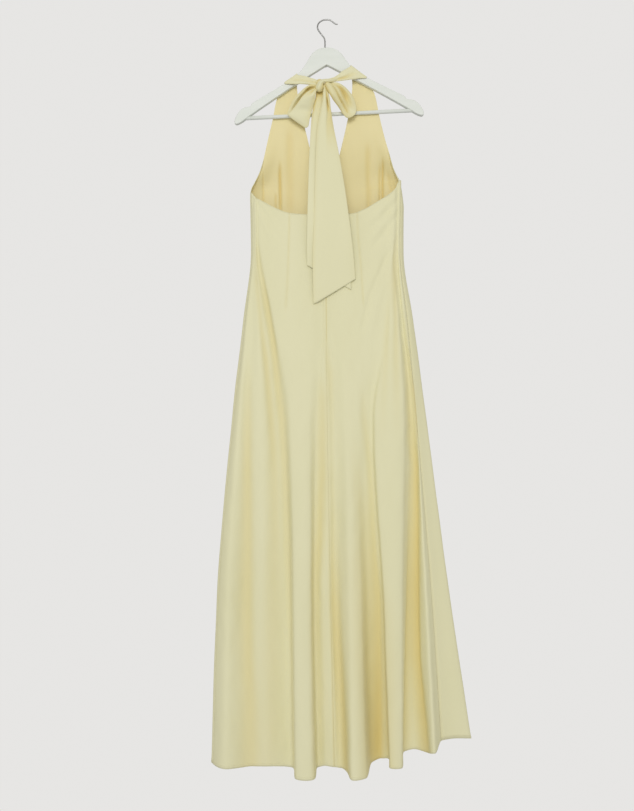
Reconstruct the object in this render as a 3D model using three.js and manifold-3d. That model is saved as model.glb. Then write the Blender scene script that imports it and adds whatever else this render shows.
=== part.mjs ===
// Halter-neck maxi dress of satin-back crepe, hung by its tied straps on a flat wooden hanger.
// Millimetres, +Z up. The back of the dress faces -Y and +X is to the right as one looks at it.
// The origin is under the crown of the hook.
import * as THREE from 'three';
import Module from 'manifold-3d';

const wasm = await Module();
wasm.setup();

const CLOTH = 1.2;
const SEAM_GAP = 0.36;
const UNDERARM_Z = -379;
const CORNER_Z = { left: -385, right: -364 };
const BACK_DIP_Z = -445;
const NECK_POINT_Z = -446;

// Lines that run down the dress, in order round it from the left side seam across the back to the right,
// then back along the front. Each has x and y at the waist, hip, thigh and knee, and x, y and z at the hem.
const WAIST_Z = -524;
const HIP_Z = -680;
const THIGH_Z = -907;
const KNEE_Z = -1312;
const LINES = [
  { name: 'left side seam', waist: [-168, 2], hip: [-187, 2], thigh: [-212, 0], knee: [-246, 0], hem: [-258, 6, -1691] },
  { name: 'left swell', waist: [-165, -7], hip: [-178, -11], thigh: [-196, -17], knee: [-221, -19], hem: [-226, -24, -1690] },
  { name: 'left hollow', waist: [-161, -11], hip: [-165, -13], thigh: [-179, -14], knee: [-183, -4], hem: [-177, -5, -1694] },
  { name: 'left wave', waist: [-157, -14], hip: [-148, -19], thigh: [-147, -22], knee: [-137, -14], hem: [-130, -9, -1691] },
  { name: 'hollow beside flute one', waist: [-153, -12], hip: [-129, -14], thigh: [-96, -13], knee: [-84, -2], hem: [-78, 3, -1698] },
  { name: 'flute one, left edge', waist: [-147, -15], hip: [-115, -21], thigh: [-78, -26], knee: [-70, -40], hem: [-66, -54, -1699] },
  { name: 'flute one, right edge', waist: [-75, -19], hip: [-36, -23], thigh: [-38, -26], knee: [-32, -38], hem: [-25, -54, -1699] },
  { name: 'hollow left of centre', waist: [-14, -20], hip: [-7, -20], thigh: [-21, -17], knee: [-24, -8], hem: [-16, -6, -1694] },
  { name: 'panel left of centre', waist: [-7, -21], hip: [-2.5, -22], thigh: [-10, -20], knee: [-6, -13], hem: [1, -12, -1688] },
  { name: 'centre back', waist: [-1, -21], hip: [2, -22], thigh: [4, -21], knee: [12, -15], hem: [20, -14, -1690] },
  { name: 'hollow right of centre', waist: [11, -20], hip: [11, -20], thigh: [19, -16], knee: [27, -11], hem: [36, -12, -1696] },
  { name: 'flute two, left edge', waist: [44, -20], hip: [38, -23], thigh: [46, -27], knee: [55, -36], hem: [62, -58, -1697] },
  { name: 'flute two, right edge', waist: [82, -19], hip: [74, -21], thigh: [70, -25], knee: [78, -30], hem: [88, -50, -1698] },
  { name: 'wide hollow', waist: [118, -17], hip: [103, -19], thigh: [88, -19], knee: [99, -6], hem: [112, -1, -1686] },
  { name: 'hollow beside flute three', waist: [137, -14], hip: [133, -16], thigh: [104, -15], knee: [127, -5], hem: [141, 7, -1681] },
  { name: 'flute three, left edge', waist: [146, -15], hip: [147, -20], thigh: [112, -24], knee: [131, -36], hem: [144, -50, -1677] },
  { name: 'flute three, right edge', waist: [154, -14], hip: [163, -18], thigh: [158, -26], knee: [168, -36], hem: [168, -48, -1677] },
  { name: 'hollow beside flute four', waist: [159, -10], hip: [169, -10], thigh: [178, -11], knee: [182, -10], hem: [181, -4, -1660] },
  { name: 'hollow floor', waist: [162, -8], hip: [173, -7], thigh: [186, -3], knee: [197, -1], hem: [203, 3, -1657] },
  { name: 'flute four, left edge', waist: [164, -9], hip: [176, -10], thigh: [194, -10], knee: [213, -8], hem: [222, -14, -1658] },
  { name: 'flute four, right edge', waist: [166.5, -8], hip: [180, -12], thigh: [201, -20], knee: [226, -22], hem: [242, -38, -1649] },
  { name: 'right side seam', waist: [170, -4], hip: [186, -6], thigh: [207, -7], knee: [241, -7], hem: [263, -3, -1635] },
  { name: 'front, beside the seam', waist: [174, 1], hip: [193, -1], thigh: [218, 1], knee: [260, 2], hem: [290, 7, -1631] },
  { name: 'right outline', waist: [179, 10], hip: [200, 9], thigh: [228, 11], knee: [284, 11], hem: [334, 12, -1637] },
  { name: 'front right wave', waist: [150, 25], hip: [165, 27], thigh: [185, 33], knee: [222, 37], hem: [262, 40, -1640] },
  { name: 'front right hollow', waist: [85, 27], hip: [95, 29], thigh: [110, 29], knee: [130, 31], hem: [150, 32, -1650] },
  { name: 'centre front', waist: [0, 29], hip: [2, 30], thigh: [5, 34], knee: [10, 38], hem: [20, 40, -1664] },
  { name: 'front left hollow', waist: [-85, 27], hip: [-93, 29], thigh: [-105, 29], knee: [-112, 31], hem: [-115, 32, -1676] },
  { name: 'front left wave', waist: [-150, 25], hip: [-162, 27], thigh: [-182, 33], knee: [-206, 37], hem: [-214, 39, -1686] },
  { name: 'left outline', waist: [-170, 11], hip: [-191, 12], thigh: [-216, 12], knee: [-250, 14], hem: [-262, 18, -1690] },
];
const COUNT = LINES.length;
const lineAt = (name) => LINES.findIndex((line) => line.name === name);
const LEFT_SEAM = lineAt('left side seam');
const CENTRE_BACK = lineAt('centre back');
const RIGHT_SEAM = lineAt('right side seam');
const CENTRE_FRONT = lineAt('centre front');

// Monotone cubic through knots that fall in z, so a line never swings past its own sizes.
function fall(knots, values, z) {
  const last = knots.length - 1;
  if (z >= knots[0]) return values[0];
  if (z <= knots[last]) return values[last];
  let k = 0;
  while (z < knots[k + 1]) k += 1;
  const slope = (i) => (values[i + 1] - values[i]) / (knots[i + 1] - knots[i]);
  const tangent = (i) => {
    if (i === 0) return slope(0);
    if (i === last) return slope(last - 1);
    const before = slope(i - 1);
    const after = slope(i);
    return before * after <= 0 ? 0 : (2 * before * after) / (before + after);
  };
  const span = knots[k + 1] - knots[k];
  const t = (z - knots[k]) / span;
  const t2 = t * t;
  const t3 = t2 * t;
  return (2 * t3 - 3 * t2 + 1) * values[k] + (t3 - 2 * t2 + t) * span * tangent(k)
    + (3 * t2 - 2 * t3) * values[k + 1] + (t3 - t2) * span * tangent(k + 1);
}

// One line's x and y at height z. Above the waist it goes straight up and lies a little flatter.
function linePoint(index, z) {
  const line = LINES[((index % COUNT) + COUNT) % COUNT];
  const knots = [UNDERARM_Z, WAIST_Z, HIP_Z, THIGH_Z, KNEE_Z, line.hem[2]];
  const flat = line.waist[1] < 0 ? 0.8 : 1;
  const xs = [line.waist[0] * 1.012, line.waist[0], line.hip[0], line.thigh[0], line.knee[0], line.hem[0]];
  const ys = [line.waist[1] * flat, line.waist[1], line.hip[1], line.thigh[1], line.knee[1], line.hem[1]];
  return [fall(knots, xs, z), fall(knots, ys, z)];
}

// Centripetal spline between the middle two of four plan points.
function between(a, b, c, d, t) {
  const step = (p, q) => Math.max(Math.sqrt(Math.hypot(p[0] - q[0], p[1] - q[1])), 1e-6);
  const t1 = step(a, b);
  const t2 = t1 + step(b, c);
  const t3 = t2 + step(c, d);
  const u = t1 + (t2 - t1) * t;
  const mix = (p, q, from, to) => p.map((value, i) => (value * (to - u) + q[i] * (u - from)) / (to - from));
  const ab = mix(a, b, 0, t1);
  const bc = mix(b, c, t1, t2);
  const cd = mix(c, d, t2, t3);
  return mix(mix(ab, bc, 0, t2), mix(bc, cd, t1, t3), t1, t2);
}

// The outer face of the dress at place s round it (in lines) and height z, and its outward direction.
function place(s, z) {
  const k = Math.floor(s);
  const [x, y] = between(linePoint(k - 1, z), linePoint(k, z), linePoint(k + 1, z), linePoint(k + 2, z), s - k);
  return new THREE.Vector3(x, y, z);
}
function outward(s, z) {
  const along = place(s + 0.08, z).sub(place(s - 0.08, z));
  const down = place(s, z - 6).sub(place(s, z + 6));
  return down.cross(along).normalize();
}

const smooth = (t) => t * t * (3 - 2 * t);
const lerp = (a, b, t) => a + (b - a) * t;
const hemZ = (s) => {
  const k = Math.floor(s);
  const at = (i) => LINES[((i % COUNT) + COUNT) % COUNT].hem[2];
  return lerp(at(k), at(k + 1), smooth(s - k));
};

// Rows from the side corner down: short above the waist, longer over the skirt.
const ROW_SHARES = [0, 0.036, 0.07, 0.105, 0.14, 0.18, 0.225, 0.275, 0.33, 0.39, 0.45, 0.51, 0.57, 0.63, 0.69,
  0.75, 0.81, 0.87, 0.935, 1];

// A closed wall from grids of outer and inner points that share their edges where they meet.
function wall(grids) {
  const points = [];
  const inside = [];
  const known = new Map();
  const outerFaces = [];
  const register = (outer, inner) => {
    const key = [outer.x, outer.y, outer.z].map((value) => value.toFixed(4)).join(',');
    if (!known.has(key)) {
      known.set(key, points.length);
      points.push(outer);
      inside.push(inner);
    }
    return known.get(key);
  };
  for (const { outer, inner } of grids) {
    const ids = outer.map((row, i) => row.map((point, j) => register(point, inner[i][j])));
    for (let i = 0; i + 1 < ids.length; i += 1) {
      for (let j = 0; j + 1 < ids[i].length; j += 1) {
        outerFaces.push([ids[i][j], ids[i + 1][j], ids[i + 1][j + 1]]);
        outerFaces.push([ids[i][j], ids[i + 1][j + 1], ids[i][j + 1]]);
      }
    }
  }
  const faces = outerFaces.filter(([a, b, c]) => a !== b && b !== c && a !== c);
  const edges = new Set();
  for (const [a, b, c] of faces) for (const [p, q] of [[a, b], [b, c], [c, a]]) edges.add(`${p},${q}`);
  const shift = points.length;
  const triangles = [...faces, ...faces.map(([a, b, c]) => [a + shift, c + shift, b + shift])];
  for (const edge of edges) {
    const [p, q] = edge.split(',').map(Number);
    if (edges.has(`${q},${p}`)) continue;
    triangles.push([q, p, p + shift], [q, p + shift, q + shift]);
  }
  return meshGeometry([...points, ...inside], triangles);
}

function meshGeometry(points, triangles) {
  const geometry = new THREE.BufferGeometry();
  const flat = points.flatMap((point) => [point.x, point.y, point.z]);
  geometry.setAttribute('position', new THREE.Float32BufferAttribute(flat, 3));
  geometry.setIndex(triangles.flat());
  geometry.computeVertexNormals();
  return geometry;
}

// Draws a panel's end columns in by half the seam's gap, on both faces alike.
function drawIn(grid, column, next) {
  grid.outer.forEach((row, i) => {
    const move = row[next].clone().sub(row[column]).normalize().multiplyScalar(SEAM_GAP / 2);
    row[column].add(move);
    grid.inner[i][column].add(move);
  });
}

// Places round the dress for a panel, with a number of steps between each two lines.
function stepsRound(from, to, steps) {
  const places = [];
  for (let k = from; k < to; k += 1) {
    for (let i = 0; i < steps; i += 1) places.push(k + i / steps);
  }
  places.push(to);
  return places;
}

// Back panels. Their top edge dips from the side corners to the zip.
const BACK_STEPS = 2;
function backTop(s) {
  const { x } = place(s, UNDERARM_Z);
  const side = x < 0 ? 'left' : 'right';
  const seamX = place(side === 'left' ? LEFT_SEAM : RIGHT_SEAM, UNDERARM_Z).x;
  const rise = Math.max(x / seamX - 0.36, 0) / 0.64;
  return lerp(BACK_DIP_Z, CORNER_Z[side], Math.min(rise, 1) ** 1.4);
}
function backPanel(from, to) {
  const places = stepsRound(from, to, BACK_STEPS);
  const outer = ROW_SHARES.map((share) => places.map((s) => place(s, lerp(backTop(s), hemZ(s), share))));
  const inner = outer.map((row) => row.map((point, j) => (
    point.clone().addScaledVector(outward(places[j], point.z), -CLOTH))));
  const grid = { outer, inner };
  drawIn(grid, 0, 1);
  drawIn(grid, places.length - 1, places.length - 2);
  return grid;
}

// Halter part of the front: rows from behind the hanger's arms down to the side corner. Each has x, y and z
// at the armhole edge and at the neck edge; the last neck point lies level with the side corner.
const HALTER = {
  left: [
    { arm: [-98.5, 8, -157], neck: [-65.5, 8, -136] },
    { arm: [-114, 9, -175], neck: [-63, 9, -170] },
    { arm: [-122, 12, -222], neck: [-52, 13, -222] },
    { arm: [-132, 14, -266], neck: [-38, 18, -280] },
    { arm: [-143, 13, -310], neck: [-26, 22, -330] },
    { arm: [-157, 9, -344], neck: [-15, 25, -376] },
  ],
  right: [
    { arm: [98, 8, -142], neck: [60, 8, -120] },
    { arm: [113, 9, -170], neck: [61, 9, -160] },
    { arm: [122, 12, -222], neck: [51, 13, -222] },
    { arm: [137, 13, -266], neck: [38, 18, -280] },
    { arm: [149, 11, -304], neck: [25, 22, -330] },
    { arm: [162, 7, -336], neck: [14, 25, -376] },
  ],
};
const NECK_CORNER = { left: [-7, 28, -412], right: [7, 28, -412] };

function frontHalf(side) {
  const seam = side === 'left' ? LEFT_SEAM + COUNT : RIGHT_SEAM;
  const places = side === 'left' ? stepsRound(CENTRE_FRONT, seam, 2) : stepsRound(seam, CENTRE_FRONT, 2);
  const share = (j) => {
    const t = j / (places.length - 1);
    return side === 'left' ? 1 - t : t;
  };
  const lower = ROW_SHARES.slice(1).map((part) => places.map((s, j) => {
    const sideZ = lerp(CORNER_Z[side], hemZ(seam), part);
    const first = part === ROW_SHARES[1];
    const centreZ = first ? NECK_POINT_Z : lerp(UNDERARM_Z - 32, hemZ(s), part);
    return place(s, lerp(sideZ, centreZ, share(j)));
  }));
  // Shares of the width that the halter rows keep, from the first full row.
  const firstRow = lower[0];
  const seamEnd = side === 'left' ? firstRow.length - 1 : 0;
  const centreEnd = side === 'left' ? 0 : firstRow.length - 1;
  const span = firstRow[centreEnd].x - firstRow[seamEnd].x;
  const corner = place(seam, CORNER_Z[side]);
  const rows = HALTER[side].map(({ arm, neck }) => ({
    arm: new THREE.Vector3(...arm),
    neck: new THREE.Vector3(...neck),
  }));
  rows.push({ arm: corner, neck: new THREE.Vector3(...NECK_CORNER[side]) });
  const upper = rows.map(({ arm, neck }, i) => firstRow.map((point, j) => {
    const across = j === seamEnd ? 0 : Math.max((point.x - firstRow[seamEnd].x) / span, 0.01 + 0.01 * share(j));
    const bulge = (point.y - lerp(firstRow[seamEnd].y, firstRow[centreEnd].y, across)) * (i / (rows.length - 1)) ** 1.3;
    const result = arm.clone().lerp(neck, across);
    result.y += bulge;
    return result;
  }));
  const outer = [...upper, ...lower];
  const normals = outer.map((row, i) => row.map((point, j) => {
    if (i >= upper.length) return outward(places[j], point.z);
    if (i === upper.length - 1 && j === seamEnd) return outward(places[j], point.z);
    const up = outer[Math.max(i - 1, 0)][j];
    const down = outer[Math.min(i + 1, outer.length - 1)][j];
    const back = row[Math.max(j - 1, 0)];
    const ahead = row[Math.min(j + 1, row.length - 1)];
    return down.clone().sub(up).cross(ahead.clone().sub(back)).normalize();
  }));
  const inner = outer.map((row, i) => row.map((point, j) => point.clone().addScaledVector(normals[i][j], -CLOTH)));
  const grid = { outer, inner };
  drawIn(grid, seamEnd, seamEnd === 0 ? 1 : seamEnd - 1);
  return grid;
}

// A strip of cloth between two edges that run from row to row, its middle raised by a rise across it.
function strip(rows, { along, across, rise = () => 0 }) {
  const curve = (key) => new THREE.CatmullRomCurve3(rows.map((row) => new THREE.Vector3(...row[key])), false, 'centripetal');
  const first = curve('left');
  const second = curve('right');
  const middle = [];
  for (let i = 0; i <= along; i += 1) {
    const t = i / along;
    const p = first.getPoint(t);
    const q = second.getPoint(t);
    const forward = first.getTangent(t).add(second.getTangent(t));
    const lift = forward.cross(q.clone().sub(p)).normalize();
    const row = [];
    for (let j = 0; j <= across; j += 1) {
      const a = j / across;
      row.push(p.clone().lerp(q, a).addScaledVector(lift, rise(a, t)));
    }
    middle.push(row);
  }
  const normal = (i, j) => {
    const up = middle[Math.max(i - 1, 0)][j];
    const down = middle[Math.min(i + 1, along)][j];
    const back = middle[i][Math.max(j - 1, 0)];
    const ahead = middle[i][Math.min(j + 1, across)];
    return down.clone().sub(up).cross(ahead.clone().sub(back)).normalize();
  };
  const face = (way) => middle.map((row, i) => row.map((point, j) => (
    point.clone().addScaledVector(normal(i, j), (way * CLOTH) / 2))));
  return wall([{ outer: face(1), inner: face(-1) }]);
}

// Solids for joining and cutting.
function solid(geometry) {
  const position = geometry.getAttribute('position');
  const known = new Map();
  const points = [];
  const ids = [];
  for (let i = 0; i < position.count; i += 1) {
    const point = [position.getX(i), position.getY(i), position.getZ(i)];
    const key = point.map((value) => value.toFixed(4)).join(',');
    if (!known.has(key)) {
      known.set(key, points.length / 3);
      points.push(...point);
    }
    ids.push(known.get(key));
  }
  const corners = geometry.index ? Array.from(geometry.index.array, (i) => ids[i]) : ids;
  const kept = [];
  for (let i = 0; i < corners.length; i += 3) {
    const [a, b, c] = corners.slice(i, i + 3);
    if (a !== b && b !== c && a !== c) kept.push(a, b, c);
  }
  return new wasm.Manifold(new wasm.Mesh({
    numProp: 3,
    vertProperties: new Float32Array(points),
    triVerts: new Uint32Array(kept),
  }));
}
function geometryOf(body) {
  const mesh = body.getMesh();
  const points = [];
  for (let i = 0; i < mesh.vertProperties.length; i += mesh.numProp) {
    points.push(new THREE.Vector3(...mesh.vertProperties.slice(i, i + 3)));
  }
  const triangles = [];
  for (let i = 0; i < mesh.triVerts.length; i += 3) triangles.push(Array.from(mesh.triVerts.slice(i, i + 3)));
  return meshGeometry(points, triangles);
}

// Bow. The knot is a rounded wrap, and every other piece stops short of it.
const KNOT = { centre: [-7, -24, -159], half: [13, 11, 17.5], tilt: 12 };
function knotGeometry(extra) {
  const geometry = new THREE.SphereGeometry(1, 20, 12);
  const position = geometry.getAttribute('position');
  const point = new THREE.Vector3();
  const turn = new THREE.Matrix4().makeRotationY(THREE.MathUtils.degToRad(-KNOT.tilt));
  for (let i = 0; i < position.count; i += 1) {
    point.fromBufferAttribute(position, i);
    const [x, y, z] = point.toArray().map((value) => Math.sign(value) * Math.abs(value) ** 0.86);
    point.set(x * (KNOT.half[0] + extra), y * (KNOT.half[1] + extra), z * (KNOT.half[2] + extra));
    point.applyMatrix4(turn).add(new THREE.Vector3(...KNOT.centre));
    position.setXYZ(i, point.x, point.y, point.z);
  }
  return geometry;
}
const offKnot = (geometry) => geometryOf(solid(geometry).subtract(solid(knotGeometry(SEAM_GAP))));

// Each row is one section of the strip: its left or upper edge, then its right or lower edge.
const STRAP_LEFT = [
  { left: [-98.5, 7.4, -156.4], right: [-65.5, 7.4, -135.4] },
  { left: [-95, 7.7, -149], right: [-65.5, 7.7, -128.5] },
  { left: [-94.5, 6.6, -144.6], right: [-65.5, 6.6, -124.2] },
  { left: [-94, 0, -142.6], right: [-65.5, 0, -122] },
  { left: [-93.5, -6.6, -144], right: [-65.3, -6.6, -124] },
  { left: [-92, -8.2, -148], right: [-64.5, -8.2, -128.5] },
  { left: [-82, -10, -149.5], right: [-57, -10, -130.5] },
  { left: [-58, -12.5, -149.5], right: [-38, -13, -134.5] },
  { left: [-21, -17, -154], right: [-17, -17, -144.5] },
  { left: [-10, -20, -156], right: [-8, -20, -149] },
];
const STRAP_RIGHT = [
  { left: [60, 7.4, -119.4], right: [98, 7.4, -141.4] },
  { left: [60, 7.7, -111.5], right: [95.5, 7.7, -135] },
  { left: [60, 6.6, -106], right: [94.5, 6.6, -130.8] },
  { left: [60, 0, -103.4], right: [94, 0, -128.4] },
  { left: [60, -6.6, -106], right: [93.5, -6.6, -130.2] },
  { left: [59, -8.2, -110.5], right: [92, -8.2, -134.5] },
  { left: [53, -9.8, -115], right: [84, -9.8, -136.5] },
  { left: [34, -13, -123], right: [62, -12, -142] },
  { left: [17, -16, -139], right: [26, -16, -147.5] },
  { left: [1, -20, -147], right: [2, -20, -153] },
];
const LOOP_LEFT = [
  { left: [-13, -22, -163], right: [-12, -21, -169] },
  { left: [-31, -20, -161], right: [-23, -18, -175] },
  { left: [-55, -15, -168], right: [-28, -15, -196] },
  { left: [-72, -13, -188], right: [-34, -13, -222] },
  { left: [-81, -14, -208], right: [-40, -13, -243] },
  { left: [-84, -21, -222], right: [-44, -22, -254] },
  { left: [-76, -31, -222], right: [-39, -31, -250] },
  { left: [-60, -35, -203], right: [-31, -35, -232] },
  { left: [-41, -32, -179], right: [-24, -32, -203] },
  { left: [-29, -28, -166], right: [-19, -28, -176] },
  { left: [-12, -28, -160], right: [-11, -27, -168] },
];
const LOOP_RIGHT = [
  { left: [-1, -22, -161], right: [-2, -22, -168] },
  { left: [23, -20, -158], right: [12, -19, -175] },
  { left: [42, -14, -163], right: [25, -14, -197] },
  { left: [57, -13, -181], right: [38, -13, -217] },
  { left: [66, -15, -201], right: [49, -14, -227] },
  { left: [69, -22, -213], right: [58, -22, -230] },
  { left: [65, -31, -202], right: [54, -31, -222] },
  { left: [56, -35, -182], right: [43, -34, -206] },
  { left: [41, -32, -164], right: [28, -32, -186] },
  { left: [22, -28, -155], right: [12, -28, -167] },
  { left: [-1, -28, -157], right: [-2, -28, -165] },
];
const TAIL_FRONT = [
  { left: [-9, -26, -166], right: [3, -26, -164] },
  { left: [-8, -29, -190], right: [10, -29, -188] },
  { left: [-15, -32, -230], right: [17, -32, -226] },
  { left: [-20, -36, -300], right: [29, -36, -292] },
  { left: [-24, -40, -383], right: [43, -40, -372] },
  { left: [-25, -42, -482], right: [53, -42, -455] },
  { left: [-26, -43, -575], right: [60, -43, -530] },
  { left: [-26, -43, -648], right: [66, -43, -592] },
];
const TAIL_BACK = [
  { left: [-14, -21, -166], right: [-4, -21, -166] },
  { left: [-21, -23, -190], right: [-4, -23, -190] },
  { left: [-29, -26, -234], right: [6, -26, -236] },
  { left: [-35, -29, -296], right: [18, -29, -302] },
  { left: [-39, -32, -381], right: [32, -32, -390] },
  { left: [-41, -34, -444], right: [44, -34, -468] },
  { left: [-40, -35, -505], right: [50, -35, -545] },
  { left: [-39, -35, -562], right: [55, -35, -616] },
];
const LOOP_SHAPE = { along: 30, across: 5, rise: (a, t) => 2.2 * Math.sin(Math.PI * a) * Math.sin(Math.PI * t) };
const TAIL_SHAPE = {
  along: 22,
  across: 12,
  rise: (a, t) => (0.9 + 1.4 * Math.min(t / 0.3, 1)) * Math.cos(a * Math.PI * 4) * (1 - 0.45 * t),
};
const STRAP_SHAPE = { along: 24, across: 4 };

// Hanger: one half of the outline of its flat body, as distance from the middle and height, from the crown
// out over the arm and its notch to the tip and back along the underside.
const HANGER_TILT = 2.7;
const HANGER_MIDDLE = -2.2;
const HANGER_THICK = 12;
const HANGER_EDGE = 1.5;
const HANGER_HALF = [
  [0, -63.4], [9, -64], [17, -66], [23.5, -69.2], [31, -75], [38, -83.5], [46.5, -97], [55, -108.5], [66, -120],
  [78, -129], [90, -136], [132, -159.5], [174, -183], [176.5, -187.6], [181, -189.4], [188.5, -190],
  [196, -193], [203.5, -199], [210, -208.5], [214, -217], [215, -222.5], [213.5, -226], [209.5, -227.3],
  [196, -221.5], [184, -213], [112, -169], [41, -126.5], [31, -118.5], [20, -110.5], [10, -104.5],
];
const BAR = { radius: 4.3, reach: 194, z: -213.5 };
const HOOK_RADIUS = 1.6;
const HOOK_PATH = [
  [-0.4, -82], [-1.1, -63.8], [-2.3, -42], [-9, -32], [-15.2, -23.9], [-18.2, -16.1], [-16.6, -8.2], [-10.8, -2],
  [-4.5, 0.9], [2, 1.6], [8, 1.2], [13.5, -1], [18, -4.6], [22.5, -7.6], [26, -8.6],
];

const hangerTurn = new THREE.Matrix4().makeRotationY(-THREE.MathUtils.degToRad(HANGER_TILT));
function hangerBody() {
  const mirrored = HANGER_HALF.slice(1).reverse().map(([x, z]) => [-x, z]);
  const outline = [...HANGER_HALF, [0, -102.5], ...mirrored].map(([x, z]) => new THREE.Vector2(x + HANGER_MIDDLE, z));
  const geometry = new THREE.ExtrudeGeometry(new THREE.Shape(outline), {
    depth: HANGER_THICK - 2 * HANGER_EDGE,
    bevelThickness: HANGER_EDGE,
    bevelSize: HANGER_EDGE,
    bevelOffset: -HANGER_EDGE,
    bevelSegments: 2,
  });
  geometry.translate(0, 0, -(HANGER_THICK / 2 - HANGER_EDGE));
  geometry.rotateX(Math.PI / 2);
  geometry.applyMatrix4(hangerTurn);
  return solid(geometry)
    .subtract(solid(barGeometry(0.3)))
    .subtract(solid(hookGeometry(HOOK_RADIUS + 0.3)));
}
function barGeometry(extra) {
  const length = 2 * (BAR.reach + extra);
  const geometry = new THREE.CylinderGeometry(BAR.radius + extra, BAR.radius + extra, length, 16);
  geometry.rotateZ(Math.PI / 2);
  geometry.translate(HANGER_MIDDLE, 0, BAR.z);
  geometry.applyMatrix4(hangerTurn);
  return geometry;
}
function hookGeometry(radius) {
  const path = HOOK_PATH.map(([x, z]) => new THREE.Vector3(x, 0, z));
  const extra = radius - HOOK_RADIUS;
  if (extra > 0) path.unshift(path[0].clone().add(new THREE.Vector3(0, 0, -extra)));
  const curve = new THREE.CatmullRomCurve3(path, false, 'centripetal');
  const steps = 44;
  const sides = 10;
  const points = [];
  const triangles = [];
  for (let i = 0; i <= steps; i += 1) {
    const centre = curve.getPointAt(i / steps);
    const tangent = curve.getTangentAt(i / steps);
    const sideways = new THREE.Vector3(-tangent.z, 0, tangent.x);
    for (let k = 0; k < sides; k += 1) {
      const angle = (2 * Math.PI * k) / sides;
      const point = centre.clone().addScaledVector(sideways, radius * Math.cos(angle));
      point.y += radius * Math.sin(angle);
      points.push(point);
      const next = (k + 1) % sides;
      if (i < steps) {
        const here = i * sides;
        const there = here + sides;
        triangles.push([here + k, there + next, here + next], [here + k, there + k, there + next]);
      }
    }
  }
  for (let k = 1; k + 1 < sides; k += 1) {
    const end = steps * sides;
    triangles.push([0, k, k + 1], [end, end + k + 1, end + k]);
  }
  return meshGeometry(points, triangles);
}

// Zip: its tape, with the closed coil as a ridge, lies behind the centre back seam on the panels' own points.
const ZIP_PLACES = [-2, -1.5, -1, -0.5, 0, 0.5, 1];
const ZIP_RIDGE = [0, 0, 0, 0.9, 1.8, 0.9, 0];
const ZIP_ROWS = 7;
const TAPE = 1;
function zipGeometry() {
  const rows = ROW_SHARES.slice(0, ZIP_ROWS);
  const behind = (depth) => rows.map((share) => ZIP_PLACES.map((offset) => {
    const s = CENTRE_BACK + offset;
    const z = lerp(backTop(s), hemZ(s), share);
    return place(s, z).addScaledVector(outward(s, z), -depth);
  }));
  const outer = behind(CLOTH + 0.3);
  const inner = behind(CLOTH + 0.3 + TAPE).map((row) => row.map((point, j) => {
    const s = CENTRE_BACK + ZIP_PLACES[j];
    return point.addScaledVector(outward(s, point.z), -ZIP_RIDGE[j]);
  }));
  return wall([{ outer, inner }]);
}

// Slider in front of the top of the seam, with a pin between two cheeks, and the pull that swings on the pin.
const SLIDER = { z: -453, wide: 8, tall: 12, thick: 2.4, pinOut: 2.9, pinRadius: 0.8, pinHalf: 3 };
const PULL = { eye: 2.3, hole: 1.3, eyeWide: 3, length: 22, wide: 6, thick: 1.2 };
const seamFace = place(CENTRE_BACK, SLIDER.z);
const sliderFace = Math.min(place(CENTRE_BACK, SLIDER.z - SLIDER.tall / 2).y, seamFace.y) - 0.35 - SLIDER.thick;
const pinCentre = [seamFace.x, sliderFace - SLIDER.pinOut, SLIDER.z + 1];
function block(wide, deep, tall, centre) {
  return wasm.Manifold.cube([wide, deep, tall], true).translate(centre);
}
function rod(radius, length, centre) {
  return wasm.Manifold.cylinder(length, radius, radius, 16, true).rotate([0, 90, 0]).translate(centre);
}
function sliderBody() {
  const [x, pinY, pinZ] = pinCentre;
  const plate = block(SLIDER.wide, SLIDER.thick, SLIDER.tall, [x, sliderFace + SLIDER.thick / 2, SLIDER.z]);
  const waist = SLIDER.tall * 0.7;
  const nick = (way) => wasm.Manifold.cylinder(SLIDER.thick * 3, waist / 2, waist / 2, 24, true)
    .rotate([90, 0, 0]).translate([x + way * (SLIDER.wide / 2 + waist / 2 - 1.2), sliderFace, SLIDER.z - 2.5]);
  const cheekDeep = SLIDER.pinOut + 1.1;
  const cheek = (way) => block(1, cheekDeep, 2.4, [
    x + way * (SLIDER.pinHalf - 0.5), sliderFace + 0.1 - cheekDeep / 2, pinZ]);
  return plate.subtract(nick(-1)).subtract(nick(1)).add(cheek(-1)).add(cheek(1))
    .add(rod(SLIDER.pinRadius, 2 * SLIDER.pinHalf - 0.5, [x, pinY, pinZ]));
}
function pullBody() {
  const [x, pinY, pinZ] = pinCentre;
  const corner = (across, down) => wasm.Manifold.cylinder(PULL.thick, 1, 1, 12, true)
    .rotate([90, 0, 0]).translate([x + across, pinY, pinZ - down]);
  const plate = wasm.Manifold.hull([
    corner(-PULL.eyeWide / 2 + 1, PULL.eye), corner(PULL.eyeWide / 2 - 1, PULL.eye),
    corner(-PULL.wide / 2 + 1, PULL.length - 3), corner(PULL.wide / 2 - 1, PULL.length - 3),
    corner(0, PULL.length - 1),
  ]);
  return plate.add(rod(PULL.eye, PULL.eyeWide, pinCentre)).subtract(rod(PULL.hole, PULL.eyeWide + 2, pinCentre));
}

const part = new THREE.Group();
part.name = 'halter_dress_on_hanger';

function addPiece(name, geometry, colour, roughness, metalness = 0) {
  const material = new THREE.MeshStandardMaterial({ color: colour, roughness, metalness });
  const mesh = new THREE.Mesh(geometry, material);
  mesh.name = name;
  part.add(mesh);
}

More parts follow.
